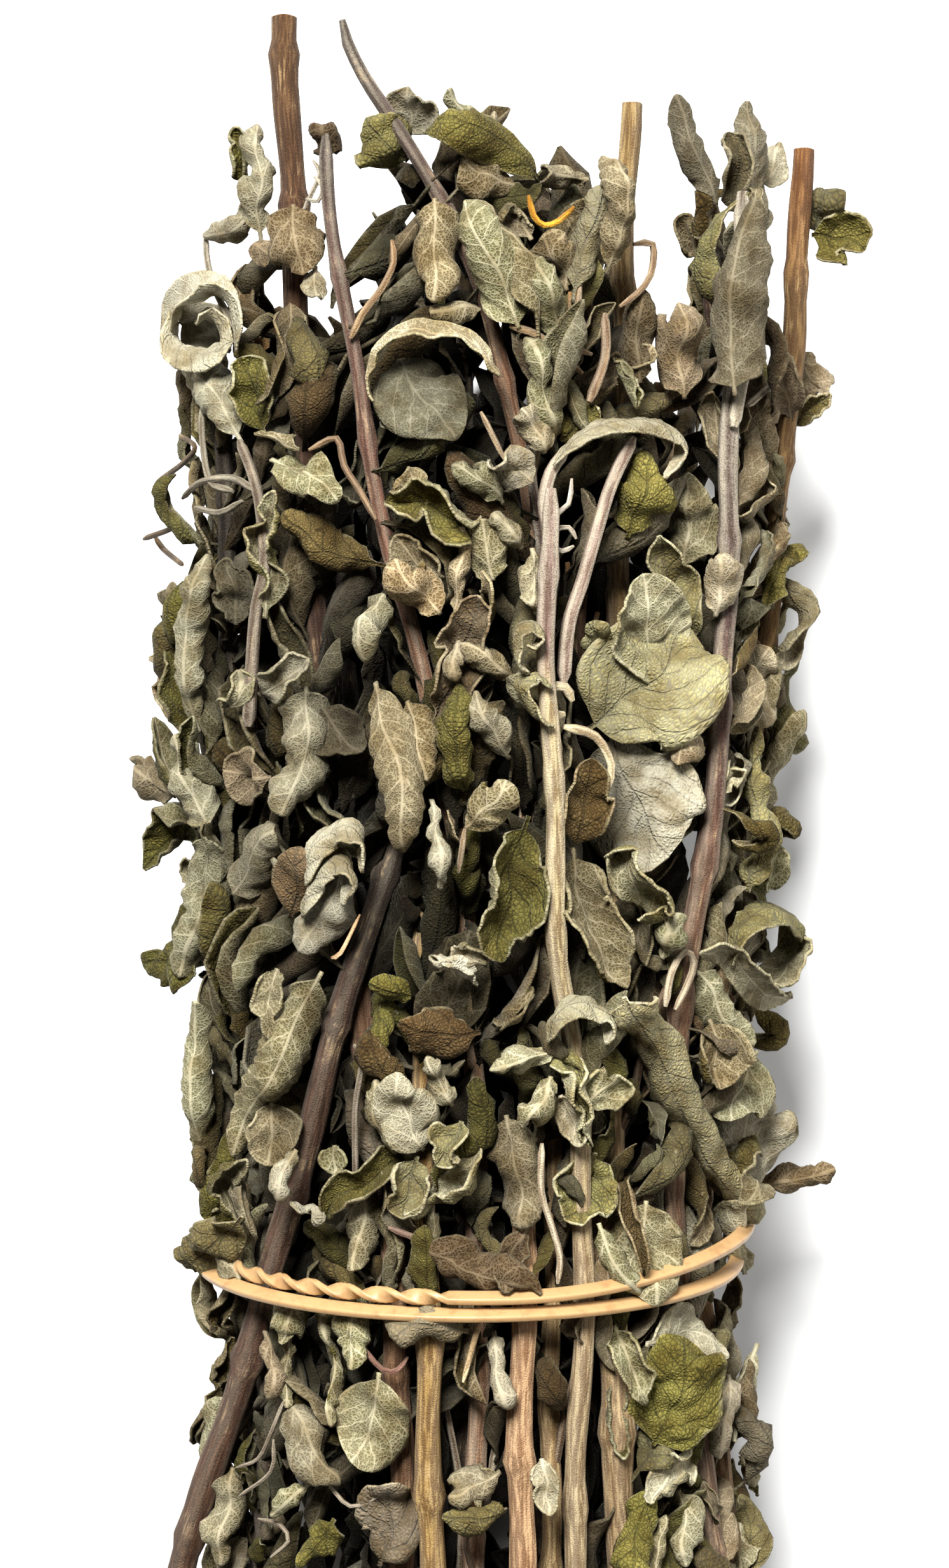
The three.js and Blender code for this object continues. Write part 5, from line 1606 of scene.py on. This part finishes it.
def randomRoll(kind, rng):
    roll = rng.gauss(0, rolls["most"]) + (math.pi if rng.random() < rolls["undersides"] else 0)
    if kind == "rolledUnder":
        roll = rng.gauss(0, rolls["rolledUnder"])
    if kind in ("rolledOver", "scroll"):
        roll = rng.choice((0, math.pi)) + rng.gauss(0, rolls["eitherSide"])
    return roll


def tryLeaf(p, depth, rng):
    drop = rng.choice(scatter["ways"]) * rng.uniform(*scatter["drop"])
    foot = nearestPoint(p, drop, rng)
    if foot is None:
        return None
    out = outwards(p)
    way = (Vector(p) - foot).normalized()
    way = (way - out * way.dot(out) * rng.uniform(*scatter["flatness"])).normalized()
    shares = scatter["outerShares" if depth > scatter["outer"] else "innerShares"]
    scale = rng.uniform(*rng.choices(scatter["sizes"], shares)[0]) / scatter["shapeLength"]
    kind = rng.choices(list(kindShares), list(kindShares.values()))[0]
    index = rng.choice([i for i, (name, _) in enumerate(shapes) if name == kind])
    shape = shapes[index][1]
    base = foot + out
    matrix, turn, place = placing(shape, base, way, out, randomRoll(kind, rng), scale)
    corners, faces = leafProxy(matrix, shape)
    c = np.array(corners)
    if not fits(c):
        return None
    hits = crowd.touching(corners, faces, scatter["countedHits"]) + scatter["hidingWeight"] * hiding(c)
    return {
        "hits": hits, "index": index, "turn": turn.to_euler(), "place": place, "scale": scale, "base": base,
        "proxy": (corners, faces),
    }


def bestLeaf(p, depth, rng):
    # the first of a few random leaves that touches and hides nothing, or else the one that does so least
    best = None
    for _ in range(scatter["tries"]):
        leaf = tryLeaf(p, depth, rng)
        if leaf and (best is None or leaf["hits"] < best["hits"]):
            best = leaf
        if best and best["hits"] == 0:
            break
    return best


def scatterLeaves():
    rng = random.Random(scatter["seed"])
    for depth, count, quality in scatter["layers"]:
        done = []
        allowed = scatter["hits" if depth < scatter["outermost"] else "outerHits"]
        for _ in range(count):
            p = pickSpot(depth, done, rng)
            leaf = bestLeaf(p, depth, rng) if p else None
            if leaf is None or leaf["hits"] > allowed:
                continue
            done.append(p)
            crowd.add(*leaf.pop("proxy"))
            small = quality == "fine" and leaf["scale"] <= scatter["fineAbove"]
            tone, spread = scatter["tone"]
            # painted shade: the deeper the layer, the darker its leaves
            dark = max(scatter["darkestShade"], 1 - scatter["paintedShade"] * (1 - depth))
            leaf["quality"] = "middle" if small else quality
            leaf["tone"] = min(1, max(0, rng.gauss(tone + (1 - depth), spread)))
            leaf["wool"] = min(1, max(0, rng.gauss(*scatter["wool"])))
            leaf["light"] = rng.uniform(*scatter["light"]) * dark
            leaves.append(leaf)
        print("layer", depth, "leaves so far", len(leaves))


shapes = makeLibrary()
scatterLeaves()
print("leaves placed:", len(leaves), "not quite free:", sum(leaf.get("hits", 0) > 0 for leaf in leaves))

# painted shade: what lies deep in the bundle is darkened, as the shade there would darken it: light for each
# step from the middle to the leafy outside, where the tips count as outside down to this depth
shades = {"tips": 60, "out": (0.5, 0.72, 0.82, 0.9, 0.98), "light": (0.04, 0.13, 0.34, 0.66, 1.0)}


def makeLeafTree():
    inputs = [
        ("Geometry", "Geometry", None), ("Leaves", "Collection", None), ("Size", "Float", 1.0),
        ("Upper", "Material", None), ("Under", "Material", None),
    ]
    tree, b, given, filled = openTree("leafScatter", "GeometryNodeTree", inputs, [("Geometry", "Geometry")])
    picked = b.add("GeometryNodeCollectionInfo", {"Collection": given["Leaves"], "Separate Children": True})
    placed = {
        "Points": given["Geometry"], "Instance": picked.outputs[0], "Pick Instance": True,
        "Instance Index": b.named("shape", "INT"), "Rotation": b.named("turn", "FLOAT_VECTOR"),
        "Scale": b.times(b.named("size", "FLOAT"), given["Size"]),
    }
    instances = b.add("GeometryNodeInstanceOnPoints", placed).outputs["Instances"]
    real = b.add("GeometryNodeRealizeInstances", {"Geometry": instances}).outputs[0]
    upper = b.painted(real, given["Upper"])
    b.put(b.painted(upper, given["Under"], Selection=b.named("under", "BOOLEAN")), filled["Geometry"])
    return tree


def makeLeafCollection():
    # every leaf mesh that the pieces use; the nodes pick them by their place in the order of the names
    collection = bpy.data.collections.new("leafLibrary")
    for k, leaf in enumerate(leaves):
        own = "shape" in leaf
        leaf["mesh"] = f"own{k:03d}" if own else f"{leaf['quality']}{leaf['index']:03d}"
        if leaf["mesh"] not in collection.objects:
            shape = leaf["shape"] if own else shapes[leaf["index"]][1]
            mesh = leafMesh(leaf["mesh"], shape, *leafGrids[leaf["quality"]])
            collection.objects.link(bpy.data.objects.new(leaf["mesh"], mesh))
    return collection


def shadeDeep(mesh):
    co = np.empty(3 * len(mesh.vertices), dtype=np.float32)
    mesh.vertices.foreach_get("co", co)
    x, y, z = co.reshape(-1, 3).T / mm
    out = np.maximum(outness(x, y, z), 1 - (crownAt(x) - y) / shades["tips"])
    light = np.empty(len(x), dtype=np.float32)
    mesh.attributes["light"].data.foreach_get("value", light)
    light *= np.interp(out, shades["out"], shades["light"]).astype(np.float32)
    mesh.attributes["light"].data.foreach_set("value", light)


def makeLeafPiece(node, members):
    points = bpy.data.meshes.new("points")
    points.from_pydata([tuple(leaf["place"] * mm) for leaf in members], [], [])
    setValues(points, "size", [leaf["scale"] for leaf in members])
    for key in ("tone", "wool", "light"):
        setValues(points, key, [leaf[key] for leaf in members])
    setValues(points, "shape", [order.index(leaf["mesh"]) for leaf in members], "INT")
    setValues(points, "turn", [tuple(leaf["turn"]) for leaf in members], "FLOAT_VECTOR")
    values = {"Leaves": library, "Size": 1.0, "Upper": leafUpper, "Under": leafUnder}
    name = f"{node}_dressed"
    mesh = bakeNodes(name, points, leafTree, values)
    shadeDeep(mesh)
    addPiece(name, mesh, [node])


leafTree = makeLeafTree()
library = makeLeafCollection()
order = sorted(thing.name for thing in library.objects)
centres = {n: (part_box(n)[0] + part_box(n)[1]) / 2 / mm for n in whorlNodes}
whorlLeaves = {n: [] for n in whorlNodes}
for leaf in leaves:
    nearest = min(centres, key=lambda n: (centres[n] - leaf["base"]).length)
    whorlLeaves[nearest].append(leaf)
for node, members in whorlLeaves.items():
    makeLeafPiece(node, members)
for item in list(library.objects):
    bpy.data.objects.remove(item)
bpy.data.collections.remove(library)
print("leaf pieces made:", len(whorlLeaves))
